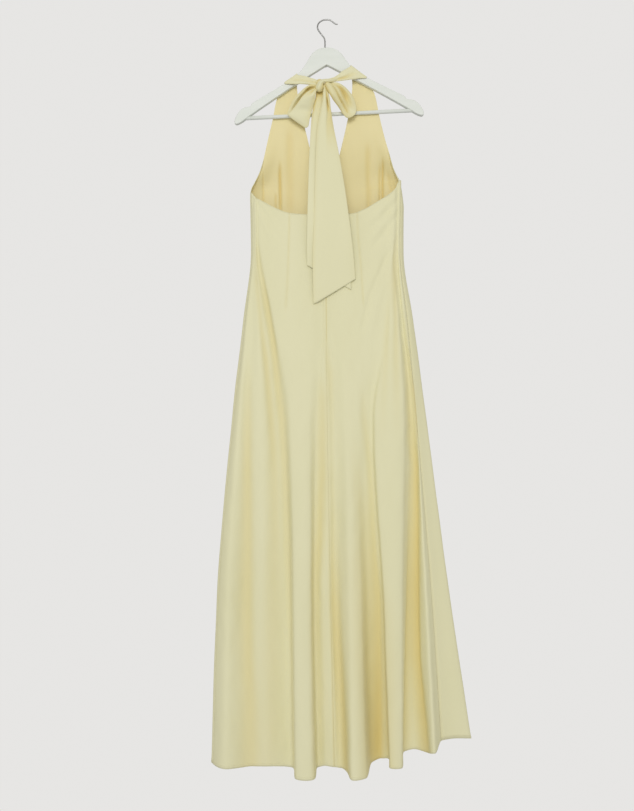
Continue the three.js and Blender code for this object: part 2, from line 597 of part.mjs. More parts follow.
const BUTTER = 0xdedab4;
const CREPE = 0.6;
addPiece('back_left', wall([backPanel(LEFT_SEAM, CENTRE_BACK)]), BUTTER, CREPE);
addPiece('back_right', wall([backPanel(CENTRE_BACK, RIGHT_SEAM)]), BUTTER, CREPE);
addPiece('front', wall([frontHalf('right'), frontHalf('left')]), BUTTER, CREPE);
addPiece('strap_left', offKnot(strip(STRAP_LEFT, STRAP_SHAPE)), BUTTER, CREPE);
addPiece('strap_right', offKnot(strip(STRAP_RIGHT, STRAP_SHAPE)), BUTTER, CREPE);
addPiece('bow_knot', geometryOf(solid(knotGeometry(0))), BUTTER, CREPE);
addPiece('bow_loop_left', offKnot(strip(LOOP_LEFT, LOOP_SHAPE)), BUTTER, CREPE);
addPiece('bow_loop_right', offKnot(strip(LOOP_RIGHT, LOOP_SHAPE)), BUTTER, CREPE);
addPiece('tail_front', offKnot(strip(TAIL_FRONT, TAIL_SHAPE)), BUTTER, CREPE);
addPiece('tail_back', offKnot(strip(TAIL_BACK, TAIL_SHAPE)), BUTTER, CREPE);
addPiece('zip', zipGeometry(), 0xe2dcb4, 0.6);
addPiece('zip_slider', geometryOf(sliderBody()), 0xdcd6b0, 0.4, 0.3);
addPiece('zip_pull', geometryOf(pullBody()), 0xdcd6b0, 0.4, 0.3);
addPiece('hanger_body', geometryOf(hangerBody()), 0xe6e8e0, 0.5);
addPiece('hanger_bar', geometryOf(solid(barGeometry(0))), 0xe6e8e0, 0.5);
addPiece('hanger_hook', hookGeometry(HOOK_RADIUS), 0x9a9b98, 0.3, 1);

export default part;
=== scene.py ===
import math

import bmesh
import bpy
import numpy as np
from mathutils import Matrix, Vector


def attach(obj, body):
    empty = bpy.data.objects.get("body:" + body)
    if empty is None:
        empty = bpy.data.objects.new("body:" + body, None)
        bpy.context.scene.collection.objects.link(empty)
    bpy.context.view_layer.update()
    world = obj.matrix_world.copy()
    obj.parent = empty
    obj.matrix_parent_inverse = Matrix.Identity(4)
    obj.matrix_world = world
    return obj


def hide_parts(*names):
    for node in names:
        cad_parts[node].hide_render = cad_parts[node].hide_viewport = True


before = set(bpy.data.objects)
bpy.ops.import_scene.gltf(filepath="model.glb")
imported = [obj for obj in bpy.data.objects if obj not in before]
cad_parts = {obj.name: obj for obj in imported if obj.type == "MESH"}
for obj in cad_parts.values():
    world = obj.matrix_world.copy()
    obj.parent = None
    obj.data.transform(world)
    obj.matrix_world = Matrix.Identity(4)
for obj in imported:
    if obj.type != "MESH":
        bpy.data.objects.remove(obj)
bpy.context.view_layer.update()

# Camera, lights and room. The dress hangs at eye level in front of a plain pale room, lit softly from the
# front and a little from above, as in a clothes photograph.
ROOM_WHITE = (0.797, 0.789, 0.774, 1.0)
camera = bpy.data.objects.new("camera", bpy.data.cameras.new("camera"))
bpy.context.collection.objects.link(camera)
camera.location = (-0.01931, -1.8, -0.87472)
camera.rotation_euler = (math.radians(90), 0, 0)
camera.data.sensor_width = 36
camera.data.lens = 35.168
bpy.context.scene.camera = camera
bpy.context.scene.view_settings.view_transform = "Standard"

world = bpy.data.worlds.new("pale_room")
world.use_nodes = True
wall_glow = world.node_tree.nodes["Background"]
wall_glow.inputs["Color"].default_value = ROOM_WHITE
room_glow = world.node_tree.nodes.new("ShaderNodeBackground")
room_glow.inputs["Color"].default_value = (0.515, 0.505, 0.485, 1)
seen_or_lit = world.node_tree.nodes.new("ShaderNodeMixShader")
ray_kind = world.node_tree.nodes.new("ShaderNodeLightPath")
world_links = world.node_tree.links
world_links.new(ray_kind.outputs["Is Camera Ray"], seen_or_lit.inputs["Fac"])
world_links.new(room_glow.outputs["Background"], seen_or_lit.inputs[1])
world_links.new(wall_glow.outputs["Background"], seen_or_lit.inputs[2])
world_links.new(seen_or_lit.outputs["Shader"], world.node_tree.nodes["World Output"].inputs["Surface"])
bpy.context.scene.world = world

LAMP_PLACE = Vector((-0.2, -3.3, 0.05))
LAMP_AIM = Vector((0, 0, -0.75))
lamp = bpy.data.lights.new("front_light", "AREA")
lamp.shape = "DISK"
lamp.size = 2.2
lamp.energy = 32.5
front_light = bpy.data.objects.new("front_light", lamp)
bpy.context.collection.objects.link(front_light)
front_light.location = LAMP_PLACE
front_light.rotation_euler = (LAMP_AIM - LAMP_PLACE).to_track_quat("-Z", "Y").to_euler()
window = bpy.data.lights.new("window_light", "SUN")
window.energy = 0.45
window.angle = math.radians(15)
window_light = bpy.data.objects.new("window_light", window)
bpy.context.collection.objects.link(window_light)
window_light.rotation_euler = Vector((0.08, 1, -0.20)).to_track_quat("-Z", "Y").to_euler()

floor = bpy.data.objects.new("floor", bpy.data.meshes.new("floor"))
FLOOR_Z = -2.0
FLOOR_REACH = 40
floor_corners = [(x * FLOOR_REACH, y * FLOOR_REACH, FLOOR_Z) for x, y in ((-1, -1), (1, -1), (1, 1), (-1, 1))]
floor.data.from_pydata(floor_corners, [], [(0, 1, 2, 3)])
bpy.context.collection.objects.link(floor)
pale_floor = bpy.data.materials.new("pale_floor")
pale_floor.use_nodes = True
floor_nodes = pale_floor.node_tree.nodes
floor_shader = floor_nodes["Principled BSDF"]
floor_shader.inputs["Base Color"].default_value = (0, 0, 0, 1)
floor_shader.inputs["Roughness"].default_value = 1.0
floor_shader.inputs["Specular IOR Level"].default_value = 0.0
floor_shader.inputs["Emission Color"].default_value = ROOM_WHITE
floor_kind = floor_nodes.new("ShaderNodeLightPath")
floor_glow = floor_nodes.new("ShaderNodeMapRange")
floor_glow.inputs["To Min"].default_value = 0.62
pale_floor.node_tree.links.new(floor_kind.outputs["Is Camera Ray"], floor_glow.inputs["Value"])
pale_floor.node_tree.links.new(floor_glow.outputs["Result"], floor_shader.inputs["Emission Strength"])
floor.data.materials.append(pale_floor)


# Hook of the hanger. Bright steel wire, bent cold to a round crook and driven into the crown of the wood.
# The end of the wire is cut and rounded.
BODY = "dress_and_hanger"
MM = 0.001
HOOK_RADIUS = 1.6
HOOK_PATH = [
    (1.2, -105), (-0.4, -82), (-1.1, -63.8), (-2.3, -42), (-9, -32), (-15.2, -23.9), (-18.2, -16.1),
    (-16.6, -8.2), (-10.8, -2), (-4.5, 0.9), (2, 1.6), (8, 1.2), (13.5, -1), (18, -4.6), (22.5, -7.6),
    (26, -8.6),
]


def new_piece(name, points, faces):
    mesh = bpy.data.meshes.new(name)
    mesh.from_pydata([tuple(point) for point in points], [], [tuple(face) for face in faces])
    mesh.validate()
    piece = bpy.data.objects.new(name, mesh)
    bpy.context.collection.objects.link(piece)
    mesh.shade_smooth()
    return piece


def spline(points, shares):
    """Centripetal spline through points, at shares 0 to 1 of its spans."""
    points = np.asarray(points, float)
    padded = np.vstack([2 * points[0] - points[1], points, 2 * points[-1] - points[-2]])
    at = np.clip(np.asarray(shares, float), 0, 1) * (len(points) - 1)
    span = np.minimum(at.astype(int), len(points) - 2)
    t = (at - span)[:, None]
    a, b, c, d = (padded[span + k] for k in range(4))
    step = lambda p, q: np.maximum(np.linalg.norm(q - p, axis=1, keepdims=True), 1e-9) ** 0.5
    ab, bc, cd = step(a, b), step(b, c), step(c, d)
    start = ((b - a) / ab - (c - a) / (ab + bc) + (c - b) / bc) * bc
    end = ((c - b) / bc - (d - b) / (bc + cd) + (d - c) / cd) * bc
    return b + start * t + (3 * (c - b) - 2 * start - end) * t**2 + (2 * (b - c) + start + end) * t**3


def noise_colour(material, low, high, scale, detail=4.0, stretch=(1, 1, 1)):
    """Links a slow change between two colours to the shader's base colour."""
    nodes, links = material.node_tree.nodes, material.node_tree.links
    place = nodes.new("ShaderNodeTexCoord")
    turn = nodes.new("ShaderNodeMapping")
    turn.inputs["Scale"].default_value = stretch
    noise = nodes.new("ShaderNodeTexNoise")
    noise.inputs["Scale"].default_value = scale
    noise.inputs["Detail"].default_value = detail
    ramp = nodes.new("ShaderNodeValToRGB")
    ramp.color_ramp.elements[0].position = 0.3
    ramp.color_ramp.elements[0].color = (*low, 1)
    ramp.color_ramp.elements[1].position = 0.7
    ramp.color_ramp.elements[1].color = (*high, 1)
    links.new(place.outputs["Object"], turn.inputs["Vector"])
    links.new(turn.outputs["Vector"], noise.inputs["Vector"])
    links.new(noise.outputs["Fac"], ramp.inputs["Fac"])
    links.new(ramp.outputs["Color"], nodes["Principled BSDF"].inputs["Base Color"])


def grain_bump(material, scale, strength, depth, stretch=(1, 1, 1)):
    """Links a fine grain to the shader's normal. depth is in metres."""
    nodes, links = material.node_tree.nodes, material.node_tree.links
    place = nodes.new("ShaderNodeTexCoord")
    turn = nodes.new("ShaderNodeMapping")
    turn.inputs["Scale"].default_value = stretch
    noise = nodes.new("ShaderNodeTexNoise")
    noise.inputs["Scale"].default_value = scale
    noise.inputs["Detail"].default_value = 3.0
    bump = nodes.new("ShaderNodeBump")
    bump.inputs["Strength"].default_value = strength
    bump.inputs["Distance"].default_value = depth
    links.new(place.outputs["Object"], turn.inputs["Vector"])
    links.new(turn.outputs["Vector"], noise.inputs["Vector"])
    links.new(noise.outputs["Fac"], bump.inputs["Height"])
    links.new(bump.outputs["Normal"], nodes["Principled BSDF"].inputs["Normal"])


def finish_material(name, roughness, metallic=0.0):
    material = bpy.data.materials.new(name)
    material.use_nodes = True
    shader = material.node_tree.nodes["Principled BSDF"]
    shader.inputs["Roughness"].default_value = roughness
    shader.inputs["Metallic"].default_value = metallic
    return material


hook_steel = finish_material("hook_steel", 0.3, 1.0)
noise_colour(hook_steel, (0.30, 0.30, 0.29), (0.40, 0.40, 0.385), 160)
grain_bump(hook_steel, 900, 0.15, 0.0001)


def wire_tube(name, path, radius, steps, sides):
    """A round wire along a path in the XZ plane, with domed ends."""
    shares = np.linspace(0, 1, steps)
    centres = spline([(x, 0, z) for x, z in path], shares)
    ahead = np.gradient(centres, axis=0)
    ahead /= np.linalg.norm(ahead, axis=1, keepdims=True)
    dome = [(0.0, 0.35), (0.45, 0.75), (0.8, 0.96)]
    first, first_way, last, last_way = centres[0], ahead[0], centres[-1], ahead[-1]
    rings = [(first + first_way * radius * (part - 1), first_way, radius * wide) for part, wide in dome]
    rings += [(centre, way, radius) for centre, way in zip(centres, ahead)]
    rings += [(last + last_way * radius * (1 - part), last_way, radius * wide) for part, wide in dome[::-1]]
    points = []
    for centre, way, wide in rings:
        sideways = np.array([-way[2], 0, way[0]])
        for k in range(sides):
            angle = 2 * math.pi * k / sides
            spoke = sideways * math.cos(angle) + np.array([0, math.sin(angle), 0])
            points.append((centre + wide * spoke) * MM)
    faces = []
    for i in range(len(rings) - 1):
        for k in range(sides):
            n = (k + 1) % sides
            faces.append((i * sides + k, (i + 1) * sides + k, (i + 1) * sides + n, i * sides + n))
    faces.append(tuple(range(sides)))
    faces.append(tuple((len(rings) - 1) * sides + k for k in reversed(range(sides))))
    return new_piece(name, points, faces)


def face_outwards(piece):
    shape = bmesh.new()
    shape.from_mesh(piece.data)
    bmesh.ops.remove_doubles(shape, verts=shape.verts, dist=1e-7)
    bmesh.ops.recalc_face_normals(shape, faces=shape.faces)
    shape.to_mesh(piece.data)
    shape.free()


hook = wire_tube("hook", HOOK_PATH, HOOK_RADIUS, 150, 20)
face_outwards(hook)
hook.data.materials.append(hook_steel)
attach(hook, BODY)
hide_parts("hanger_hook")


# Body of the hanger. A flat board sawn to the outline of shoulders with a notch near each tip, its edges
# rounded over, primed and sprayed with a satin white paint.
HANGER_TILT = math.radians(2.7)
HANGER_MIDDLE = -2.2
HANGER_THICK = 12
HANGER_EDGE = 1.5
HANGER_HALF = [
    (0, -63.4), (9, -64), (17, -66), (23.5, -69.2), (31, -75), (38, -83.5), (46.5, -97), (55, -108.5),
    (66, -120), (78, -129), (90, -136), (132, -159.5), (174, -183), (176.5, -187.6), (181, -189.4),
    (188.5, -190), (196, -193), (203.5, -199), (210, -208.5), (214, -217), (215, -222.5), (213.5, -226),
    (209.5, -227.3), (196, -221.5), (184, -213), (112, -168.2), (41, -126), (31, -120.3), (20, -114.1),
    (10, -108.3), (4, -105), (0, -102.8),
]

white_paint = finish_material("white_paint", 0.5)
noise_colour(white_paint, (0.745, 0.778, 0.715), (0.785, 0.812, 0.757), 14, 5, (1, 3, 5))
grain_bump(white_paint, 120, 0.12, 0.0002, (0.15, 1, 1))


def tilt(points):
    points = np.asarray(points, float)
    c, s = math.cos(-HANGER_TILT), math.sin(-HANGER_TILT)
    return np.column_stack([points[:, 0] * c + points[:, 2] * s, points[:, 1],
                            -points[:, 0] * s + points[:, 2] * c])


half = spline([(x, 0, z) for x, z in HANGER_HALF], np.linspace(0, 1, 121))
outline = np.vstack([half, half[1:-1][::-1] * [-1, 1, 1]]) + [HANGER_MIDDLE, 0, 0]
rings = []
ROUNDED_EDGE = [(0.5, 0), (0.75, 0.12), (0.93, 0.45), (1, 1)]
for depth, inset in [(-depth, inset) for depth, inset in reversed(ROUNDED_EDGE)] + ROUNDED_EDGE:
    along = np.roll(outline, -1, 0) - np.roll(outline, 1, 0)
    along /= np.linalg.norm(along, axis=1, keepdims=True)
    inward = np.column_stack([along[:, 2], np.zeros(len(along)), -along[:, 0]])
    ring = outline + inward * HANGER_EDGE * inset
    ring[:, 1] = depth * HANGER_THICK / 2
    rings.append(ring)
count = len(outline)
board_faces = []
for i in range(len(rings) - 1):
    for k in range(count):
        n = (k + 1) % count
        board_faces.append((i * count + k, i * count + n, (i + 1) * count + n, (i + 1) * count + k))
board_faces.append(tuple(range(count)))
board_faces.append(tuple((len(rings) - 1) * count + k for k in reversed(range(count))))
hanger_board = new_piece("hanger_board", tilt(np.vstack(rings)) * MM, board_faces)
face_outwards(hanger_board)
for face in hanger_board.data.polygons:
    if len(face.vertices) > 4:
        face.use_smooth = False
hanger_board.data.materials.append(white_paint)
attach(hanger_board, BODY)
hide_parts("hanger_body")

# Bar of the hanger. A turned dowel glued into the two tips and painted with the board.
BAR = {"radius": 4.3, "reach": 194, "z": -213.5, "sides": 32}
BAR_RINGS = [(-1, 0.8), (-0.996, 1), (0.996, 1), (1, 0.8)]
sides = BAR["sides"]
bar_rings = []
for reach, wide in BAR_RINGS:
    angle = np.linspace(0, 2 * math.pi, sides, endpoint=False)
    bar_rings.append(np.column_stack([
        np.full(sides, reach * BAR["reach"] + HANGER_MIDDLE),
        BAR["radius"] * wide * np.cos(angle), BAR["z"] + BAR["radius"] * wide * np.sin(angle)]))
last_ring = (len(BAR_RINGS) - 1) * sides
bar_faces = []
for ring_start in range(0, last_ring, sides):
    for k in range(sides):
        n = (k + 1) % sides
        bar_faces.append((ring_start + k, ring_start + n, ring_start + sides + n, ring_start + sides + k))
bar_faces += [tuple(range(sides)), tuple(last_ring + k for k in reversed(range(sides)))]
hanger_bar = new_piece("hanger_dowel", tilt(np.vstack(bar_rings)) * MM, bar_faces)
face_outwards(hanger_bar)
hanger_bar.data.materials.append(white_paint)
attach(hanger_bar, BODY)
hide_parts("hanger_bar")


# Back of the dress: two panels of satin-back crepe, joined down the centre under the zip and fitted with a
# long dart each side. The crepe face is outside and the satin inside. The skirt falls in deep soft flutes.
CLOTH = 1.2
SEAM_GAP = 0.05
UNDERARM_Z = -379
CORNER_Z = {"left": -385, "right": -364}
BACK_DIP_Z = -445
NECK_POINT_Z = -446
LEVELS = {"underarm": UNDERARM_Z, "waist": -524, "hip": -680, "thigh": -907, "knee": -1312}
UNDERARM_WIDER = 1.012
UNDERARM_FLATTER = 0.8
# Lines down the dress, in order round it: x and y at the waist, hip, thigh and knee, and x, y and z at the
# hem. At the underarm each is a little wider than at the waist and, behind, a little flatter.
LINES = {
    "left side seam": ((-168, 2), (-184, 2), (-210, 0), (-244, 0), (-257, 6, -1691)),
    "left swell": ((-165, -7), (-178, -11), (-196, -17), (-221, -19), (-226, -24, -1690)),
    "left hollow": ((-161, -11), (-165, -13), (-179, -14), (-183, -4), (-177, -5, -1694)),
    "left wave": ((-157, -14), (-148, -19), (-147, -22), (-137, -14), (-130, -9, -1691)),
    "hollow beside flute one": ((-153, -12), (-129, -14), (-96, -13), (-84, -2), (-78, 3, -1698)),
    "flute one, left edge": ((-147, -15), (-115, -21), (-78, -26), (-70, -40), (-66, -54, -1699)),
    "flute one, right edge": ((-75, -19), (-36, -23), (-38, -26), (-32, -38), (-25, -54, -1699)),
    "hollow left of centre": ((-14, -20), (-7, -20), (-21, -17), (-24, -8), (-16, -6, -1694)),
    "panel left of centre": ((-7, -21), (-2.5, -22), (-10, -20), (-6, -13), (1, -12, -1688)),
    "centre back": ((-1, -21), (2, -22), (4, -21), (12, -15), (20, -14, -1690)),
    "hollow right of centre": ((11, -20), (11, -20), (19, -16), (26, -11), (33, -12, -1693)),
    "flute two, left edge": ((44, -20), (38, -23), (46, -27), (54, -36), (58, -58, -1699)),
    "flute two, right edge": ((82, -19), (74, -21), (70, -25), (79, -30), (91, -50, -1699)),
    "wide hollow": ((118, -17), (103, -19), (88, -19), (99, -6), (112, -1, -1686)),
    "hollow beside flute three": ((137, -14), (133, -16), (104, -15), (127, -5), (141, 7, -1681)),
    "flute three, left edge": ((146, -15), (147, -20), (112, -24), (130, -36), (140, -50, -1677)),
    "flute three, right edge": ((154, -14), (163, -18), (172, -25), (168, -36), (168, -48, -1677)),
    "hollow beside flute four": ((159, -10), (169, -10), (186, -13), (182, -10), (181, -4, -1660)),
    "hollow floor": ((162, -8), (173, -7), (195, -7), (197, -1), (203, 3, -1657)),
    "flute four, left edge": ((164, -9), (176, -10), (201, -10), (213, -8), (222, -14, -1658)),
    "flute four, right edge": ((166.5, -8), (180, -12), (205, -12), (226, -22), (242, -38, -1649)),
    "right side seam": ((170, -4), (186, -6), (207, -7), (241, -7), (263, -3, -1635)),
    "front, beside the seam": ((174, 1), (193, -1), (218, 1), (260, 2), (290, 7, -1631)),
    "right outline": ((178, 10), (200, 9), (231, 11), (285, 11), (334, 12, -1637)),
    "front right wave": ((150, 25), (165, 27), (185, 33), (222, 37), (262, 40, -1640)),
    "front right hollow": ((85, 27), (95, 29), (110, 29), (130, 31), (150, 32, -1650)),
    "centre front": ((0, 29), (2, 30), (5, 34), (10, 38), (20, 40, -1664)),
    "front left hollow": ((-85, 27), (-93, 29), (-105, 29), (-112, 31), (-115, 32, -1676)),
    "front left wave": ((-150, 25), (-162, 27), (-182, 33), (-206, 37), (-214, 39, -1686)),
    "left outline": ((-170, 11), (-187.5, 12), (-213.5, 12), (-247.5, 14), (-261, 18, -1690)),
}
LINE_NAMES = list(LINES)
COUNT = len(LINES)
CENTRE_BACK = LINE_NAMES.index("centre back")
RIGHT_SEAM = LINE_NAMES.index("right side seam")
CENTRE_FRONT = LINE_NAMES.index("centre front")


def fall(knots, values, z):
    """Monotone cubic through knots that fall in z."""
    knots, values = np.asarray(knots, float), np.asarray(values, float)
    slopes = np.diff(values) / np.diff(knots)
    tangents = np.empty(len(knots))
    tangents[0], tangents[-1] = slopes[0], slopes[-1]
    for i in range(1, len(slopes)):
        a, b = slopes[i - 1], slopes[i]
        tangents[i] = 0 if a * b <= 0 else 2 * a * b / (a + b)
    z = np.clip(z, knots[-1], knots[0])
    k = np.clip(np.searchsorted(-knots, -z, side="right") - 1, 0, len(slopes) - 1)
    span = knots[k + 1] - knots[k]
    t = (z - knots[k]) / span
    return ((2 * t**3 - 3 * t**2 + 1) * values[k] + (t**3 - 2 * t**2 + t) * span * tangents[k]
            + (3 * t**2 - 2 * t**3) * values[k + 1] + (t**3 - t**2) * span * tangents[k + 1])


def line_point(index, z):
    *sizes, hem = LINES[LINE_NAMES[index % COUNT]]
    knots = [*LEVELS.values(), hem[2]]
    flat = UNDERARM_FLATTER if sizes[0][1] < 0 else 1
    xs = [sizes[0][0] * UNDERARM_WIDER, *(size[0] for size in sizes), hem[0]]
    ys = [sizes[0][1] * flat, *(size[1] for size in sizes), hem[1]]
    return np.stack([fall(knots, xs, z), fall(knots, ys, z)], axis=-1)


def place(s, z):
    """Outer face of the dress at place s round it, in lines, for an array of heights z."""
    z = np.atleast_1d(np.asarray(z, float))
    k = math.floor(s)
    a, b, c, d = (line_point(k + i, z) for i in (-1, 0, 1, 2))
    step = lambda p, q: np.maximum(np.linalg.norm(p - q, axis=-1, keepdims=True), 1e-6) ** 0.5
    t1 = step(a, b)
    t2 = t1 + step(b, c)
    t3 = t2 + step(c, d)
    u = t1 + (t2 - t1) * (s - k)
    mix = lambda p, q, start, end: (p * (end - u) + q * (u - start)) / (end - start)
    ab, bc, cd = mix(a, b, 0 * t1, t1), mix(b, c, t1, t2), mix(c, d, t2, t3)
    plan = mix(mix(ab, bc, 0 * t1, t2), mix(bc, cd, t1, t3), t1, t2)
    return np.concatenate([plan, z[:, None]], axis=-1)


def hem_z(s):
    k = math.floor(s)
    low, high = (LINES[LINE_NAMES[(k + i) % COUNT]][4][2] for i in (0, 1))
    t = s - k
    return low + (high - low) * t * t * (3 - 2 * t)


# Top edge of the back: distance from the middle and height, from the side seam inwards.
BACK_TOP = {
    "left": [(170, -391), (160, -403), (140, -415), (112, -430), (82, -441), (42, -444.5), (0, -445)],
    "right": [(174, -364), (169, -365), (166, -369), (162, -381), (152, -392), (117, -415.5), (87, -433),
              (57, -443), (0, -445)],
}


def back_top(s):
    x = place(s, UNDERARM_Z)[0, 0]
    side = "left" if x < 0 else "right"
    seam_x = place(0 if x < 0 else RIGHT_SEAM, UNDERARM_Z)[0, 0]
    away, heights = zip(*BACK_TOP[side])
    return float(fall(away, heights, np.array([x / seam_x * away[0]]))[0])


# Folds of the back, as grooves between its flutes. Each step down a fold has x, z, its half width to the left
# and to the right, and how deep it is, from 0 to 1, which sets the groove and the painted shade in it.
FOLDS = {
    "left of the waist": [
        (-157, -515, 4, 4, 0), (-156, -593, 5, 5, 0.26), (-146, -683, 5, 5, 0.28), (-134, -772, 6, 6, 0.44),
        (-126, -862, 7, 7, 0.42), (-119, -952, 8, 8, 0.40), (-115, -1042, 11, 10, 0.28),
        (-114, -1177, 14, 10, 0.23), (-118, -1312, 18, 14, 0.19), (-122, -1420, 20, 16, 0.18),
        (-125, -1560, 22, 18, 0.17), (-128, -1700, 22, 18, 0.14),
    ],
    "left flute": [
        (-157, -490, 4, 3, 0), (-149, -548, 5, 4, 0.2), (-134, -638, 6, 5, 0.42), (-119, -728, 6, 5, 0.48),
        (-109, -817, 7, 6, 0.42), (-99, -907, 7, 7, 0.38), (-92, -1020, 7, 6, 0.32), (-87, -1177, 6, 7, 0.26),
        (-82, -1312, 5, 6, 0.24), (-77, -1447, 4, 5, 0.21), (-75, -1581, 4, 5, 0.19),
        (-73, -1700, 4, 5, 0.19),
    ],
    "left side": [
        (-172, -750, 6, 6, 0), (-174, -817, 7, 7, 0.11), (-176, -907, 8, 9, 0.30), (-177, -1020, 9, 9, 0.44),
        (-177, -1177, 12, 10, 0.43), (-178, -1312, 14, 11, 0.45), (-176, -1447, 13, 12, 0.48),
        (-172, -1560, 16, 15, 0.46), (-170, -1700, 22, 18, 0.38),
    ],
    "left of the centre": [
        (-9, -800, 6, 6, 0), (-8, -862, 9, 10, 0.28), (-8, -952, 10, 10, 0.38), (-10, -1042, 9, 12, 0.42),
        (-16, -1177, 10, 12, 0.40), (-25, -1267, 8, 11, 0.34), (-26, -1400, 7, 13, 0.32),
        (-25, -1560, 6, 13, 0.28), (-22, -1700, 6, 9, 0.24),
    ],
    "right of the centre": [
        (-3, -715, 3, 4, 0.05), (9, -800, 7, 6, 0.22), (15, -880, 6, 4, 0.14), (15, -1000, 6, 5, 0.10),
        (17, -1110, 8, 6, 0.20), (18, -1200, 9, 7, 0.32), (21, -1312, 10, 8, 0.56), (26, -1402, 10, 8, 0.62),
        (31, -1491, 9, 9, 0.64), (37, -1581, 9, 8, 0.66), (43, -1700, 8, 7, 0.70),
    ],
    "wide hollow, left side": [
        (68, -950, 12, 8, 0), (72, -1042, 12, 11, 0.14), (84, -1132, 15, 15, 0.24), (92, -1222, 25, 20, 0.34),
        (102, -1335, 31, 30, 0.42), (107, -1447, 31, 32, 0.50), (112, -1536, 29, 30, 0.57),
        (117, -1700, 27, 26, 0.64),
    ],
    "wide hollow, right side": [
        (84, -820, 5, 5, 0), (87, -907, 7, 7, 0.20), (100, -997, 8, 6, 0.24), (106, -1100, 9, 5, 0.32),
        (112, -1210, 8, 4, 0.36), (121, -1312, 9, 3, 0.39), (124, -1447, 10, 3, 0.43),
        (126, -1560, 12, 3, 0.56),
        (128, -1700, 16, 3, 0.70),
    ],
    "right hip, inner": [
        (142, -620, 4, 4, 0), (138, -690, 5, 5, 0.14), (135, -760, 6, 6, 0.18), (130, -862, 7, 7, 0.10),
        (128, -960, 7, 7, 0),
    ],
    "right hip, outer": [
        (160, -480, 3, 3, 0), (155, -540, 3, 6, 0.34), (158, -600, 8, 5, 0.36), (158, -690, 5, 5, 0.28),
        (158, -772, 7, 6, 0.24), (160, -862, 8, 7, 0.12), (162, -960, 10, 8, 0),
    ],
    "hollow beside flute three": [
        (188, -980, 4, 5, 0), (192, -1042, 5, 7, 0.14), (191, -1177, 5, 9, 0.32), (189, -1290, 4, 9, 0.54),
        (186, -1402, 4, 10, 0.58), (182, -1536, 4, 10, 0.48), (180, -1700, 6, 12, 0.36),
    ],
    "hollow beside flute four": [
        (180, -640, 4, 4, 0), (180, -683, 5, 5, 0.11), (187, -772, 9, 6, 0.25), (190, -862, 8, 12, 0.32),
        (199, -952, 10, 7, 0.52), (203, -1010, 7, 5, 0.80), (205, -1132, 8, 5, 0.84),
        (206, -1312, 10, 5, 0.90), (208, -1447, 11, 5, 0.88), (217, -1560, 13, 6, 0.82),
        (228, -1700, 12, 7, 0.68),
    ],
}
FOLD_DEPTH = 8.5
SEAM_DIP = {"deep": 1.0, "half_width": 2.2, "turned_in": 7}
# Darts, pressed flat, the slight drag that the hanging weight puts in the cloth under the arms, and the
# puckers at the left side seam and at the end of the zip.
BACK_CREASES = [
    {"name": "left dart", "width": 1.4, "out": -1.5, "fade": 25, "seam": True,
     "run": [(-81, -425), (-83, -525), (-86.5, -615), (-91, -668)]},
    {"name": "right dart", "width": 1.4, "out": -1.5, "fade": 25, "seam": True,
     "run": [(70, -425), (72.5, -491), (80, -570), (86, -660)]},
    {"name": "right drag one", "width": 5, "out": 1.6, "run": [(168, -392), (118, -440), (80, -476)]},
    {"name": "right drag two", "width": 4, "out": -1.6, "run": [(170, -402), (125, -452), (84, -492)]},
    {"name": "right drag three", "width": 5, "out": 1.5, "run": [(171, -416), (128, -470), (86, -515)]},
    {"name": "right drag four", "width": 4, "out": -1.4, "run": [(171, -432), (132, -486), (92, -534)]},
    {"name": "right hip drag", "width": 5, "out": -1.9,
     "run": [(160, -496), (128, -560), (98, -632), (78, -722)]},
    {"name": "right hip drag, lower", "width": 7, "out": 1.0, "run": [(150, -560), (118, -640), (92, -740)]},
    {"name": "left drag one", "width": 4, "out": -1.3, "run": [(-164, -404), (-134, -446), (-106, -500)]},
    {"name": "left drag two", "width": 5, "out": 1.3, "run": [(-165, -416), (-138, -466), (-116, -520)]},
    {"name": "left drag three", "width": 5, "out": -1.2, "run": [(-150, -400), (-120, -438), (-92, -486)]},
    {"name": "left side pucker", "width": 2.2, "out": -1.5, "fade": 8,
     "run": [(-166, -398), (-164, -416), (-166, -432)]},
    {"name": "left side pucker, inner", "width": 2, "out": -1.0, "fade": 8,
     "run": [(-161, -402), (-159, -424)]},
    {"name": "zip end, left", "width": 3, "out": -1.0, "fade": 12,
     "run": [(-3, -700), (-6, -728), (-12, -752)]},
    {"name": "zip end, right", "width": 3.5, "out": -1.3, "fade": 14,
     "run": [(0, -705), (6, -735), (16, -775)]},
]


def fold_share(points):
    """How deep each point of the back lies in a fold, from 0 to about 1."""
    share = np.zeros(points.shape[:2])
    x, z = points[..., 0], points[..., 2]
    for steps in FOLDS.values():
        table = np.array(steps, float)[::-1]
        at, left, right, deep = (np.interp(z, table[:, 1], table[:, k]) for k in (0, 2, 3, 4))
        away = (x - at) / np.where(x < at, left, right)
        share = np.maximum(share, 0) + deep * np.exp(-0.7 * away**2) * (1 - 0.5 * np.clip(share, 0, 1))
    return np.clip(share, 0, 1.2)


